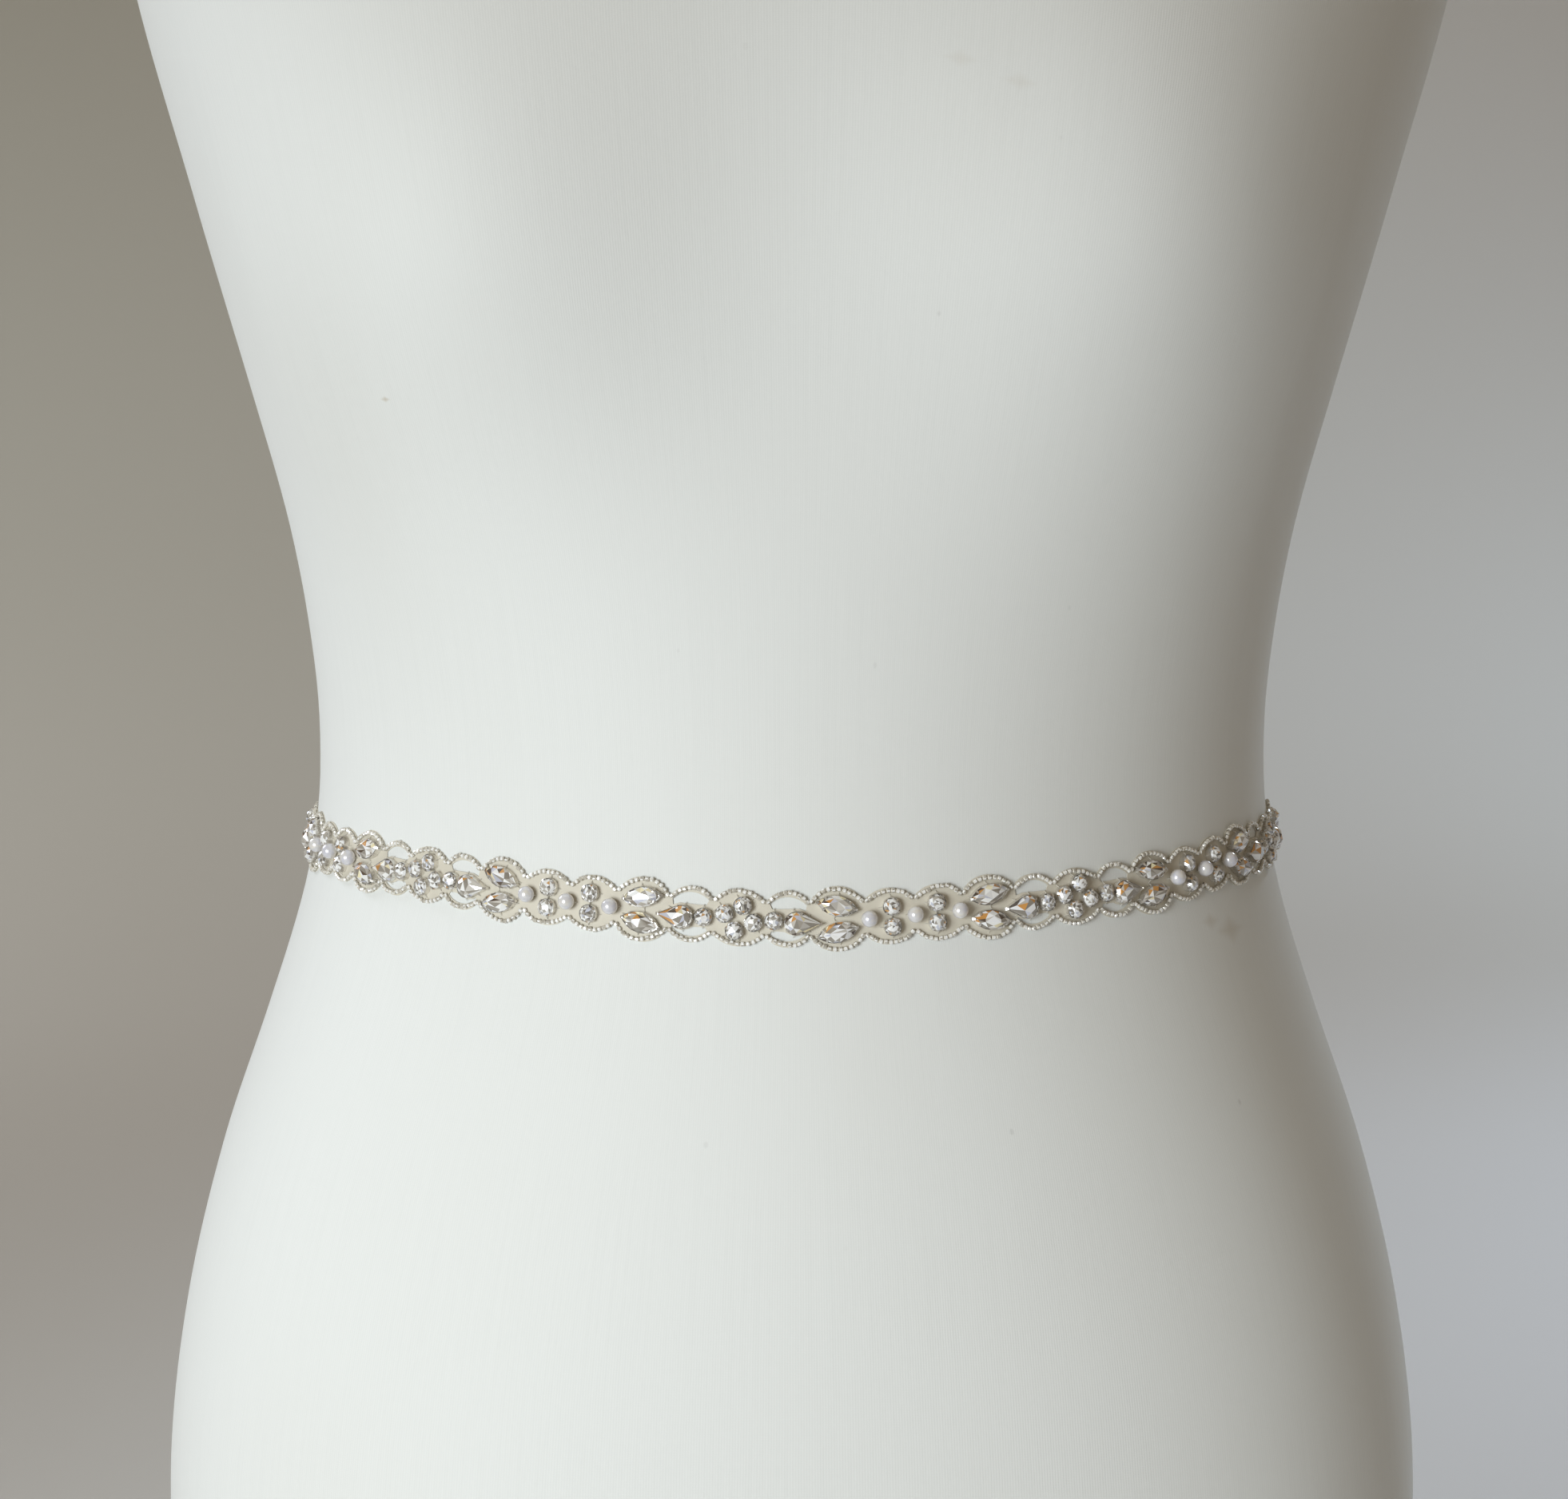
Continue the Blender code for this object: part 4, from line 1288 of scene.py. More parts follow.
@dataclass
class BeadEdging:
    """Two strings of short cut beads, couched along the scallops."""

    path: WaistPath
    trim: Trim
    ground: float
    bead_material: bpy.types.Material
    thread_material: bpy.types.Material
    length: float = 1.15 * MM
    radius: float = 0.54 * MM
    hole: float = 0.22 * MM
    chamfer: float = 0.27 * MM
    sides: int = 8
    pitch: float = 1.24 * MM
    end_room: float = 0.90 * MM
    string: float = 0.13 * MM
    seed: int = 11
    slip: float = 0.06 * MM
    stray: float = 0.12 * MM
    lean: float = math.radians(10)
    skew: float = 0.30 * MM
    swell: float = 0.18 * MM
    # Painted light on the beads: a painted glint on some outward flats, ends painted lighter against the
    # shade in the gaps between beads, and painted shade in the hole.
    painted_glint: Colour = (0.97, 0.965, 0.935)
    glint_share: Flat = (0.45, 0.85)
    glint_above: float = 0.50
    body: tuple[Colour, Colour] = ((0.41, 0.38, 0.32), (0.60, 0.565, 0.49))
    end: Colour = (0.72, 0.68, 0.59)
    hole_shade: Colour = (0.34, 0.31, 0.26)
    hole_reach: float = 1.2
    end_from: float = 0.3

    def bead(self) -> bpy.types.Mesh:
        """One bead, lying along X, its hole cut through."""
        bm = bmesh.new()
        along = Matrix.Rotation(math.pi / 2, 4, "Y")
        sizes = {"radius1": self.radius, "radius2": self.radius, "depth": self.length}
        bmesh.ops.create_cone(bm, cap_ends=True, segments=self.sides, matrix=along, **sizes)
        caps = [face for face in bm.faces if len(face.verts) == self.sides and abs(face.normal.x) > 0.9]
        rims = [edge for face in caps for edge in face.edges]
        bmesh.ops.bevel(
            bm, geom=rims, offset=self.chamfer, segments=1, affect="EDGES", profile=0.5, material=-1
        )
        caps = [face for face in bm.faces if abs(face.normal.x) > 0.99]
        rim = self.radius - self.chamfer - self.hole
        bmesh.ops.inset_region(bm, faces=caps, thickness=rim, use_even_offset=True)
        caps = [face for face in bm.faces if abs(face.normal.x) > 0.99 and len(face.verts) == self.sides]
        rims = [edge for face in caps for edge in face.edges]
        bmesh.ops.delete(bm, geom=caps, context="FACES_ONLY")
        bmesh.ops.bridge_loops(bm, edges=rims)
        return template(bm)

    def along_scallops(self, stretch: Stretch, hand: random.Random) -> Iterator[tuple[float, float, float]]:
        """The s, h and slope of each bead's middle along one edge of one length.

        Args:
            stretch: The length.
            hand: Makes each scallop lean and swell a little, as sewn by hand.

        Yields:
            The bead's place, as on the upper edge.
        """
        for cell, start, end in self.trim.placed_cells():
            radius, half_angle = self.trim.arc(cell)
            skew = hand.uniform(-self.skew, self.skew)
            swell = hand.uniform(-self.swell, self.swell)
            free = 2 * (radius * half_angle - self.end_room)
            count = round(free / self.pitch) + 1
            for i in range(count):
                part = 2 * i / (count - 1) - 1
                angle = part * free / 2 / radius
                s = (start + end) / 2 + radius * math.sin(angle) * self.trim.stretch
                h = cell.crest - radius + radius * math.cos(angle)
                h += skew * math.sin(math.pi * part) + swell * (1 - part**2)
                if stretch.start + self.length / 2 < s < stretch.end - self.length / 2:
                    yield s, h, -angle

    def build(self, stretch: Stretch) -> list[bpy.types.Object]:
        """Builds the beads and their strings on one length.

        Args:
            stretch: The length.

        Returns:
            The beads' piece and the strings' piece.
        """
        hand = random.Random(f"{self.seed} {stretch.name}")
        beads, strings = Joined(), Joined()
        bead = self.bead()
        middle = self.ground + self.radius
        for side in (1, -1):
            strung = []
            for s, h, slope in self.along_scallops(stretch, hand):
                s += hand.uniform(-self.slip, self.slip)
                h = side * (h + hand.uniform(-self.stray, self.stray))
                place = self.path.matrix(s, h, middle, side * slope + hand.uniform(-self.lean, self.lean))
                roll = Matrix.Rotation(hand.uniform(0, math.tau), 4, "X")
                pick = hand.random()
                tone = [low + (high - low) * pick for low, high in zip(*self.body)]
                share = hand.uniform(*self.glint_share)
                beads.add(bead, place @ roll, lambda face: self.tint(face, roll, tone, share, hand))
                strung.append(self.path.place(s, h, middle))
            strings.thread(strung, self.string)
        bmesh.ops.recalc_face_normals(strings.bm, faces=strings.bm.faces)
        pieces = [
            finished(f"beads_{stretch.name}", beads.bm, self.bead_material, 20.0),
            finished(f"bead_strings_{stretch.name}", strings.bm, self.thread_material),
        ]
        return pieces

    def tint(
        self, face: bmesh.types.BMFace, roll: Matrix, body: Sequence[float], share: float, hand: random.Random
    ) -> Colour:
        """The tint of one face of a silver-lined bead, with its painted glint and painted shade.

        Args:
            face: The face, before the bead is rolled and placed.
            roll: The bead's turn about its hole.
            body: The bead's own tone.
            share: The share of its outward flats that get a painted glint.
            hand: Picks them.

        Returns:
            A painted glint or plain on the flats, plain at the sides, lighter ends painted against gap shade,
            painted shade in the hole.
        """
        middle = face.calc_center_median()
        glints = hand.random() < share
        # Painted shade in the hole, lighter painted ends, and a painted glint on some outward flats.
        if math.hypot(middle.y, middle.z) < self.hole_reach * self.hole:
            return self.hole_shade
        if abs(face.normal.x) > self.end_from:
            return self.end
        outward = (roll.to_3x3() @ face.normal).z > self.glint_above
        return self.painted_glint if outward and glints else tuple(body)


class GemRing(NamedTuple):
    """One ring of a cut stone's corners: how many, whether turned half a step, its scale and its height."""

    count: int
    half_step: bool
    scale: float
    height: float


@dataclass
class StoneWork:
    """Cut stones in claw cups, and pearls, each sewn down with a few stitches."""

    path: WaistPath
    trim: Trim
    ground: float
    finishes: Finishes
    seed: int = 23
    variants: int = 4
    tilt: float = math.radians(4)
    pearl_radius: float = PEARL_RADIUS
    rings: dict[Kind, tuple[GemRing, ...]] = field(
        default_factory=lambda: {
            Kind.MARQUISE: (
                GemRing(16, False, 0.95, 1.50 * MM),
                GemRing(10, True, 0.76, 2.25 * MM),
                GemRing(6, False, 0.46, 2.95 * MM),
            ),
            Kind.TEARDROP: (
                GemRing(16, False, 0.95, 1.55 * MM),
                GemRing(9, True, 0.76, 2.35 * MM),
                GemRing(5, False, 0.46, 3.05 * MM),
            ),
            Kind.CHATON: (
                GemRing(16, False, 0.93, 1.45 * MM),
                GemRing(12, True, 0.80, 2.10 * MM),
                GemRing(8, False, 0.55, 2.60 * MM),
                GemRing(4, True, 0.20, 2.85 * MM),
            ),
        }
    )
    claws: dict[Kind, tuple[float, ...]] = field(
        default_factory=lambda: {
            Kind.MARQUISE: (0, 50, 130, 180, 230, 310),
            Kind.TEARDROP: (0, 62, 140, 220, 298),
            Kind.CHATON: (45, 135, 225, 315),
        }
    )
    # Painted reflections in the facets, each row a share, its extra share on upper left facets, and a tint:
    # white is a painted glint; amber, brown, lilac, gold and greys are painted reflections of the
    # surroundings.
    large_facet_reflections: tuple[tuple[float, float, Colour], ...] = (
        (0.02, 0.24, (0.62, 0.30, 0.08)),
        (0.03, 0.12, (0.10, 0.07, 0.05)),
        (0.26, 0.00, (0.97, 0.965, 0.935)),
        (0.06, 0.00, (0.60, 0.61, 0.69)),
        (0.05, 0.02, (0.88, 0.78, 0.52)),
        (0.16, 0.00, (0.57, 0.535, 0.48)),
        (1.00, 1.00, (0.32, 0.29, 0.245)),
    )
    small_facet_reflections: tuple[tuple[float, float, Colour], ...] = (
        (0.02, 0.06, (0.60, 0.34, 0.13)),
        (0.12, 0.04, (0.17, 0.155, 0.135)),
        (0.45, 0.00, (0.97, 0.965, 0.935)),
        (0.07, 0.00, (0.61, 0.63, 0.71)),
        (1.00, 1.00, (0.42, 0.39, 0.34)),
    )
    unevenness: float = 0.10 * MM
    cup_sides: int = 20
    cup_lip: float = 0.25 * MM
    cup_recess: float = 0.30 * MM
    claw_size: tuple[float, float, float] = (0.22 * MM, 0.62 * MM, 1.0 * MM)
    claw_reach: float = 0.55 * MM
    claw_rise: float = 0.55 * MM
    stitch_radius: float = 0.09 * MM
    stitch_reach: float = 0.75 * MM
    pearl_stitch_turns: tuple[float, ...] = (20, 45, 70, 90)
    pearl_stitch_clear: float = 1.06
    stitch_lift: float = 0.1 * MM
    claw_step: float = 0.04
    claw_parts: Flat = (0.4, 0.6)
    claw_taper: float = 0.8
    # How upper left facets lean to a painted warm reflection.
    warm_reflection_lean: float = 0.35
    warm_reflection_reach: float = 2.0 * MM
    shade_range: Flat = (0.85, 1.15)
    brightest: float = 0.96

    def gem(self, kind: Kind, variant: int) -> bpy.types.Mesh:
        """One cut stone: the hull of its rings of corners, which gives it flat facets.

        Args:
            kind: The stone's kind.
            variant: Which of its few slightly different cuts.

        Returns:
            The mesh.
        """
        hand = random.Random(f"{self.seed} {kind.value} {variant}")
        bm = bmesh.new()
        for ring in self.rings[kind]:
            turn = math.pi / ring.count if ring.half_step else 0.0
            made = bmesh.ops.create_circle(bm, segments=ring.count, radius=1.0)
            for vert in made["verts"]:
                x, y = outline_radius(kind, math.atan2(vert.co.y, vert.co.x) + turn)
                wobble = self.unevenness if ring is not self.rings[kind][0] else 0.0
                vert.co = Vector((x * ring.scale, y * ring.scale, ring.height))
                vert.co += Vector([hand.uniform(-wobble, wobble) for _ in range(3)])
        for edge in bm.edges[:]:
            bm.edges.remove(edge)
        made = bmesh.ops.convex_hull(bm, input=bm.verts[:])
        spare = [item for item in made["geom_interior"] if isinstance(item, bmesh.types.BMVert)]
        bmesh.ops.delete(bm, geom=spare, context="VERTS")
        bmesh.ops.recalc_face_normals(bm, faces=bm.faces)
        return template(bm)

    def cup(self, kind: Kind) -> bpy.types.Mesh:
        """The metal cup of a stone, with its claws bent over the girdle."""
        bm = bmesh.new()
        girdle = self.rings[kind][0].height
        made = bmesh.ops.create_circle(bm, cap_ends=True, segments=self.cup_sides, radius=1.0)
        for vert in made["verts"]:
            x, y = outline_radius(kind, math.atan2(vert.co.y, vert.co.x))
            vert.co = Vector((x, y, 0.0))
        floor = made["verts"][0].link_faces[0]
        raised = bmesh.ops.extrude_face_region(bm, geom=[floor])["geom"]
        lifted = [item for item in raised if isinstance(item, bmesh.types.BMVert)]
        bmesh.ops.translate(bm, verts=lifted, vec=(0.0, 0.0, girdle + self.cup_recess / 2))
        lid = [item for item in raised if isinstance(item, bmesh.types.BMFace)]
        bmesh.ops.inset_region(bm, faces=lid, thickness=self.cup_lip, use_even_offset=True)
        bmesh.ops.translate(bm, verts=list(lid[0].verts), vec=(0.0, 0.0, -self.cup_recess))
        bmesh.ops.recalc_face_normals(bm, faces=bm.faces)
        for degrees in self.claws[kind]:
            self.claw(bm, kind, math.radians(degrees), girdle)
        return template(bm)

    def claw(self, bm: bmesh.types.BMesh, kind: Kind, angle: float, girdle: float) -> None:
        """Adds one claw: it stands at the cup's wall and bends in over the stone's edge.

        Args:
            bm: The cup's mesh.
            kind: The stone's kind.
            angle: The claw's angle on the outline.
            girdle: The height of the stone's edge.
        """
        thick, wide, tall = self.claw_size
        here = Vector(outline_radius(kind, angle))
        turns = (angle - self.claw_step, angle + self.claw_step)
        before, after = (Vector(outline_radius(kind, turn)) for turn in turns)
        along = after - before
        out = Vector((along.y, -along.x, 0.0)).normalized()
        if out.xy.dot(here) < 0:
            out.negate()
        turned = Matrix((out, Vector((-out.y, out.x, 0.0)), Vector((0, 0, 1)))).transposed().to_4x4()
        turned.translation = here.to_3d() + Vector((0, 0, girdle + self.cup_recess / 2 - tall / 2))
        made = bmesh.ops.create_cube(bm, size=1.0, matrix=turned @ Matrix.Diagonal((thick, wide, tall, 1.0)))
        sides = {face for vert in made["verts"] for face in vert.link_faces}
        tip = max(sides, key=lambda face: face.calc_center_median().z)
        for part in self.claw_parts:
            raised = bmesh.ops.extrude_face_region(bm, geom=[tip])["geom"]
            bmesh.ops.delete(bm, geom=[tip], context="FACES_ONLY")
            tip = next(item for item in raised if isinstance(item, bmesh.types.BMFace))
            step = Vector((0, 0, part * self.claw_rise)) - part * self.claw_reach * out
            centre = Matrix.Translation(-tip.calc_center_median())
            bmesh.ops.scale(bm, verts=list(tip.verts), vec=[self.claw_taper] * 3, space=centre)
            bmesh.ops.translate(bm, verts=list(tip.verts), vec=step)

    def stitches(self, kind: Kind) -> bpy.types.Mesh:
        """The stitches that hold one stone's cup, or one pearl, to the net."""
        sewn = Joined()
        if kind is Kind.PEARL:
            for hand in (1, -1):
                turns = [math.radians(angle) for angle in self.pearl_stitch_turns]
                low = self.pearl_radius * self.pearl_stitch_clear
                points = []
                for turn in turns:
                    rise = low * (1 - math.sin(turn)) + self.stitch_lift
                    points.append(Vector((hand * low * math.cos(turn / 4), 0, rise)))
                sewn.thread(points, self.stitch_radius)
        else:
            degrees = self.claws[kind]
            for here, after in zip(degrees, (*degrees[1:], degrees[0] + 360)):
                angle = math.radians((here + after) / 2)
                foot = Vector(outline_radius(kind, angle)).to_3d()
                away = foot.normalized()
                points = [
                    foot + Vector((0, 0, 0.75 * MM)) - 0.1 * MM * away,
                    foot + Vector((0, 0, 0.70 * MM)) + 0.16 * MM * away,
                    foot + Vector((0, 0, 0.35 * MM)) + 0.5 * self.stitch_reach * away,
                    foot + Vector((0, 0, 0.02 * MM)) + self.stitch_reach * away,
                ]
                sewn.thread(points, self.stitch_radius, 4)
        bmesh.ops.recalc_face_normals(sewn.bm, faces=sewn.bm.faces)
        return template(sewn.bm)

    def pearl(self) -> bpy.types.Mesh:
        """One pearl."""
        bm = bmesh.new()
        up = Matrix.Translation((0.0, 0.0, self.pearl_radius))
        bmesh.ops.create_icosphere(bm, subdivisions=4, radius=self.pearl_radius, matrix=up)
        return template(bm)

    def facet_painted_reflection(
        self, face: bmesh.types.BMFace, kind: Kind, hand: random.Random, turn: float
    ) -> Colour:
        """The painted reflection that one facet shows: a painted glint or a painted reflection of the
        surroundings.

        Args:
            face: The facet, before it is placed.
            kind: The stone's kind.
            hand: The stone's own run of chance.
            turn: The stone's turn on the sash.

        Returns:
            A tint: a white painted glint, or a clear grey; the upper left facets lean to a painted reflection
                in amber and brown.
        """
        middle = (Matrix.Rotation(turn, 3, "Z") @ face.calc_center_median()).xy
        # Upper left facets lean to a painted warm reflection.
        warm = max(middle.y - self.warm_reflection_lean * middle.x, 0.0) / self.warm_reflection_reach
        pick, shade = hand.random(), hand.uniform(*self.shade_range)
        tints = self.small_facet_reflections if kind is Kind.CHATON else self.large_facet_reflections
        for share, warm_reflection_share, colour in tints:
            pick -= share + warm_reflection_share * warm
            if pick < 0:
                break
        return tuple(min(channel * shade, self.brightest) for channel in colour)

    def build(self, stretch: Stretch) -> list[bpy.types.Object]:
        """Builds the stones, cups, pearls and stitches of one length.

        Args:
            stretch: The length.

        Returns:
            The pieces.
        """
        hand = random.Random(f"{self.seed} {stretch.name}")
        cut = [kind for kind in Kind if kind is not Kind.PEARL]
        gems = {kind: [self.gem(kind, i) for i in range(self.variants)] for kind in cut}
        cups = {kind: self.cup(kind) for kind in cut}
        sewing = {kind: self.stitches(kind) for kind in Kind}
        pearl = self.pearl()
        crystals, metal, pearls, stitches = Joined(), Joined(), Joined(), Joined()
        for kind, s, h, turn in self.trim.stones():
            if not stretch.start < s < stretch.end:
                continue
            place = self.path.matrix(s, h, self.ground, turn)
            stitches.add(sewing[kind], place)
            lean = Matrix.Rotation(hand.uniform(-self.tilt, self.tilt), 4, "X")
            lean @= Matrix.Rotation(hand.uniform(-self.tilt, self.tilt), 4, "Y")
            if kind is Kind.PEARL:
                pearls.add(pearl, place @ lean)
                continue
            metal.add(cups[kind], place)
            lift = Matrix.Translation((0, 0, self.rings[kind][0].height))
            gem = hand.choice(gems[kind])
            tilted = place @ lift @ lean @ lift.inverted()
            crystals.add(gem, tilted, lambda face: self.facet_painted_reflection(face, kind, hand, turn))
        made = (
            (f"crystals_{stretch.name}", crystals, self.finishes.crystal, "crystal", 1.0),
            (f"cups_{stretch.name}", metal, self.finishes.silver, "silver", 30.0),
            (f"pearls_{stretch.name}", pearls, self.finishes.pearl, "pearl", 60.0),
            (f"stitches_{stretch.name}", stitches, self.finishes.thread, None, 60.0),
        )
        pieces = []
        for name, joined, material, slot, sharp in made:
            piece = finished(name, joined.bm, material, sharp)
            pieces.append(piece)
        return pieces


# ---------------------------------------------------------------- the closure


@dataclass
class Closure:
    """Two satin tabs that overlap at the centre back, with a sewn snap between them."""

    path: WaistPath
    finishes: Finishes
    left_end: float
    right_end: float
    gap: float = 0.3 * MM
    half_width: float = 4.4 * MM
    thick: float = 1.0 * MM
    overlap: float = 18.0 * MM
    ramp: float = 11.0 * MM
    lift: float = 3.5 * MM
    rows: int = 32
    sides: int = 20
    squareness: float = 0.32
    folded_width: float = 10.0 * MM
    stitch: float = 0.10 * MM
    stitch_pitch: float = 1.5 * MM
    stitch_inset: float = 1.6 * MM
    stitch_lift: float = 0.05 * MM
    stitch_course: tuple[tuple[float, float, float], ...] = (
        (-0.5 * MM, 0.0, -0.15 * MM),
        (0.0, 0.1 * MM, 0.05 * MM),
        (0.5 * MM, 0.2 * MM, -0.15 * MM),
    )

    def tab(
        self, name: str, node: str, start: float, end: float, lift_at: Callable[[float], float]
    ) -> bpy.types.Object:
        """Builds one tab of folded ribbon, with rounded folds.

        Args:
            name: The piece's name.
            node: The CAD node that it replaces.
            start: The length s of its sewn end.
            end: The length s of its free end.
            lift_at: The height of its inner side at a length s.

        Returns:
            The piece.
        """
        bm = tube(self.sides, self.rows)
        flat = {}
        for vert in bm.verts:
            angle = math.atan2(vert.co.y, vert.co.x)
            across = math.copysign(abs(math.cos(angle)) ** self.squareness, math.cos(angle))
            out = math.copysign(abs(math.sin(angle)) ** self.squareness, math.sin(angle))
            s = start + (end - start) * (vert.co.z + 0.5)
            h = across * self.half_width
            flat[vert] = (h, s)
            vert.co = self.path.place(s, h, lift_at(s) + self.thick * (0.5 + 0.5 * out))
        lay_out(bm, flat.get)
        bmesh.ops.recalc_face_normals(bm, faces=bm.faces)
        piece = finished(name, bm, self.finishes.satin, 50.0)
        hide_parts(node)
        return piece

    def sewing(self, name: str, s: float, lift: float, forward: float) -> bpy.types.Object:
        """A row of short stitches across a tab."""
        sewn = Joined()
        count = round(2 * self.half_width / self.stitch_pitch)
        for i in range(count):
            h = -self.half_width + (i + 0.5) * 2 * self.half_width / count
            top = lift + self.thick + self.stitch_lift
            points = [
                self.path.place(s + forward * reach, h + side, top + rise)
                for reach, side, rise in self.stitch_course
            ]
            sewn.thread(points, self.stitch)
        bmesh.ops.recalc_face_normals(sewn.bm, faces=sewn.bm.faces)
        return finished(name, sewn.bm, self.finishes.thread)

    def build(self) -> None:
        """Builds the tabs and their sewing, and finishes the snap."""
        middle = (self.left_end + self.right_end) / 2

        def rise(s: float) -> float:
            """How high the upper tab's inner side lies at a length s."""
            part = min(max((self.left_end - self.gap - s) / self.ramp, 0.0), 1.0)
            return self.lift * part**2 * (3 - 2 * part)

        lower_end, upper_end = middle + self.overlap / 2, middle - self.overlap / 2
        lower = self.tab("ribbon_right", "tab_right", self.right_end + self.gap, lower_end, lambda s: 0.0)
        upper = self.tab("ribbon_left", "tab_left", self.left_end - self.gap, upper_end, rise)
        right_row, left_row = self.right_end + self.stitch_inset, self.left_end - self.stitch_inset
        sewn = [
            self.sewing("ribbon_right_sewing", right_row, 0.0, 1.0),
            self.sewing("ribbon_left_sewing", left_row, rise(left_row), -1.0),
        ]
        for node in ("snap_socket", "snap_stud"):
            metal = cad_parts[node]
            metal.data.materials.clear()
            metal.data.materials.append(self.finishes.nickel)


@dataclass
class Sash:
    """The whole sash: three lengths of beaded trim, and its closure."""

    path: WaistPath
    trim: Trim
    finishes: Finishes
    gap: float = 0.3 * MM
    left_side: Cut = Cut(-2, 6.05 * MM)
    right_side: Cut = Cut(2, 6.05 * MM)
    left_end: Cut = Cut(-4, 29.05 * MM)
    right_end: Cut = Cut(4, -6.05 * MM)

    def lengths(self) -> tuple[Stretch, ...]:
        """The three lengths of trim."""
        left, right = self.trim.along(*self.left_side), self.trim.along(*self.right_side)
        first, last = self.trim.along(*self.left_end), self.trim.along(*self.right_end)
        half = self.gap / 2
        return (
            Stretch("front", "band_front", left + half, right - half),
            Stretch("back_left", "band_back_left", first, left - half),
            Stretch("back_right", "band_back_right", right + half, last),
        )

    def build(self) -> None:
        """Builds every length with what is sewn to it, and then the closure."""
        ground = NetGround(self.path, self.trim, self.finishes.net)
        edging = BeadEdging(self.path, self.trim, ground.top, self.finishes.bead, self.finishes.thread)
        stones = StoneWork(self.path, self.trim, ground.top, self.finishes)
        lengths = self.lengths()
        for stretch in lengths:
            net, flat, area = ground.build(stretch)
            sewn = edging.build(stretch) + stones.build(stretch)
        Closure(
            self.path, self.finishes, lengths[1].start + self.path.length, lengths[2].end
        ).build()


# ---------------------------------------------------------------- the studio


class Lamp(NamedTuple):
    """A soft light: its place, what it faces, its size, its power, its colour and its spread in degrees."""

    name: str
    place: tuple[float, float, float]
    aim: tuple[float, float, float]
    size: float
    watts: float
    colour: Colour
    spread: float


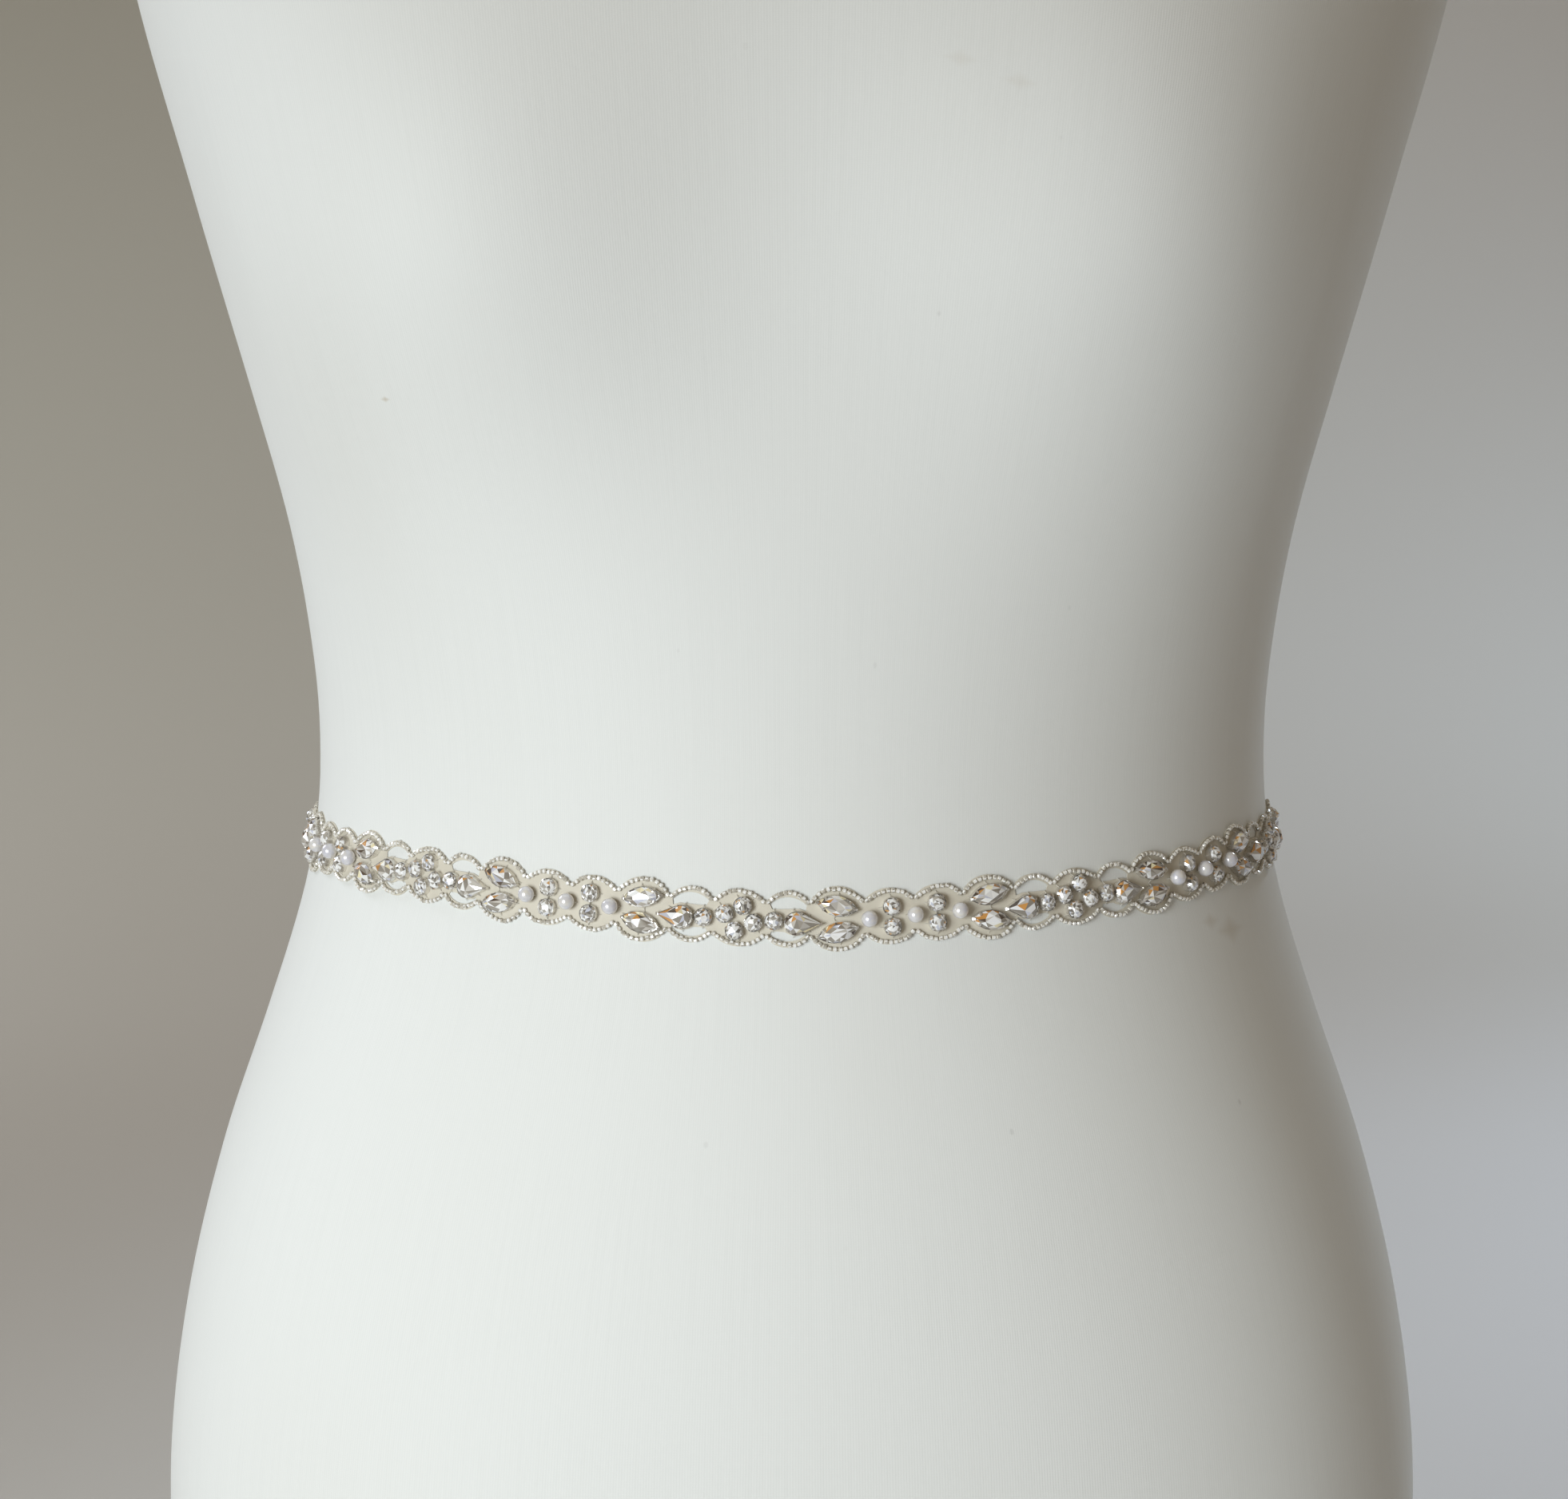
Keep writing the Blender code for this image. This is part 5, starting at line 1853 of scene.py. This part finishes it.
@dataclass
class Studio:
    """A pale floor that sweeps up all round, soft lights and the camera."""

    floor_radius: float = 3.4
    sweep_radius: float = 2.2
    wall_height: float = 2.6
    sides: int = 96
    sweep_steps: int = 22
    air: Colour = (1.0, 0.81, 0.571)
    air_strength: float = 0.292
    camera_place: tuple[float, float, float] = (-0.0021, -1.0896, 0.4278)
    camera_pitch: float = math.radians(8.0)
    frame_width: int = 1962
    focal_pixels: float = 5200.0
    sensor: float = 36.0
    lamps: tuple[Lamp, ...] = (
        Lamp("key", (-0.70, -1.20, 0.33), (0.0, 0.0, 0.12), 0.6, 3.27, (0.884, 0.949, 1.0), 80.0),
        Lamp("rim", (-1.60, 1.00, 1.30), (0.0, 0.0, 0.33), 0.8, 6.25, (0.812, 0.889, 1.0), 110.0),
        Lamp("left_wash", (-1.7, 0.1, 1.0), (-0.8, 1.5, 0.0), 0.6, 2.54, (0.885, 0.95, 1.0), 60.0),
        Lamp("right_wash", (1.7, 0.1, 1.0), (0.8, 1.5, 0.0), 0.6, 2.68, (0.705, 0.888, 1.0), 60.0),
        Lamp("far_wash", (-1.6, 1.2, 1.3), (-1.0, 2.6, 0.4), 0.8, 2.0, (0.82, 0.983, 1.0), 100.0),
        Lamp("back", (1.1, 1.9, 1.3), (0.27, 0.29, 0.0), 0.4, 0.89, (0.684, 0.835, 1.0), 32.0),
    )

    def backdrop(self) -> None:
        """The floor and the wall that it sweeps up into."""
        bm = bmesh.new()
        rim = self.floor_radius - self.sweep_radius
        profile = [(0.0, 0.0), (rim, 0.0)]
        for i in range(1, self.sweep_steps + 1):
            angle = math.pi / 2 * i / self.sweep_steps
            profile.append(
                (rim + self.sweep_radius * math.sin(angle), self.sweep_radius * (1 - math.cos(angle)))
            )
        profile.append((self.floor_radius, self.wall_height))
        verts = [bm.verts.new((x, 0.0, z)) for x, z in profile]
        edges = [bm.edges.new(pair) for pair in zip(verts, verts[1:])]
        turn = {"axis": (0, 0, 1), "cent": (0, 0, 0), "angle": math.tau}
        bmesh.ops.spin(bm, geom=verts + edges, steps=self.sides, use_merge=True, **turn)
        bmesh.ops.remove_doubles(bm, verts=bm.verts[:], dist=SAME_PLACE)
        bmesh.ops.recalc_face_normals(bm, faces=bm.faces)
        mesh = bpy.data.meshes.new("backdrop")
        bm.to_mesh(mesh)
        bm.free()
        mesh.shade_smooth()
        # The paper carries painted light, darker on the left and paler on the right.
        mesh.materials.append(Paper().material())
        backdrop = bpy.data.objects.new("backdrop", mesh)
        bpy.context.scene.collection.objects.link(backdrop)
        backdrop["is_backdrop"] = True

    def lights(self) -> None:
        """The lamps and the air's own light."""
        for lamp in self.lamps:
            light = bpy.data.lights.new(lamp.name, "AREA")
            light.size = lamp.size
            light.energy = lamp.watts
            light.color = lamp.colour
            light.spread = math.radians(lamp.spread)
            holder = bpy.data.objects.new(lamp.name, light)
            holder.visible_camera = False
            holder.location = lamp.place
            ahead = Vector(lamp.aim) - Vector(lamp.place)
            holder.rotation_euler = ahead.to_track_quat("-Z", "Y").to_euler()
            bpy.context.scene.collection.objects.link(holder)
        world = bpy.data.worlds.new("air")
        world.use_nodes = True
        sky = world.node_tree.nodes["Background"]
        sky.inputs["Color"].default_value = (*self.air, 1.0)
        sky.inputs["Strength"].default_value = self.air_strength
        bpy.context.scene.world = world

    def camera(self) -> None:
        """The camera, level with the waist and tipped a little down."""
        data = bpy.data.cameras.new("camera")
        data.sensor_width = self.sensor
        data.lens = self.focal_pixels * self.sensor / self.frame_width
        data.clip_start, data.clip_end = 0.05, 50.0
        holder = bpy.data.objects.new("camera", data)
        holder.location = self.camera_place
        holder.rotation_euler = (math.pi / 2 - self.camera_pitch, 0.0, 0.0)
        bpy.context.scene.collection.objects.link(holder)
        bpy.context.scene.camera = holder

    def build(self) -> None:
        """Sets the studio up."""
        self.camera()
        self.backdrop()
        self.lights()
        bpy.context.scene.view_settings.view_transform = "Standard"


def main() -> None:
    """Builds the studio, the form and the sash."""
    logging.basicConfig(level=logging.INFO, format="%(message)s")
    cad_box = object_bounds()
    Studio().build()
    finishes = Finishes()
    shape = FormShape()
    DressForm(shape, finishes).build()
    path = WaistPath(shape)
    Sash(path, Trim(path.length), finishes).build()
    sizes = {"cad": cad_box, "visual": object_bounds()}
    {name: [list(corner) for corner in box] for name, box in sizes.items()}


if __name__ == "__main__":
    main()
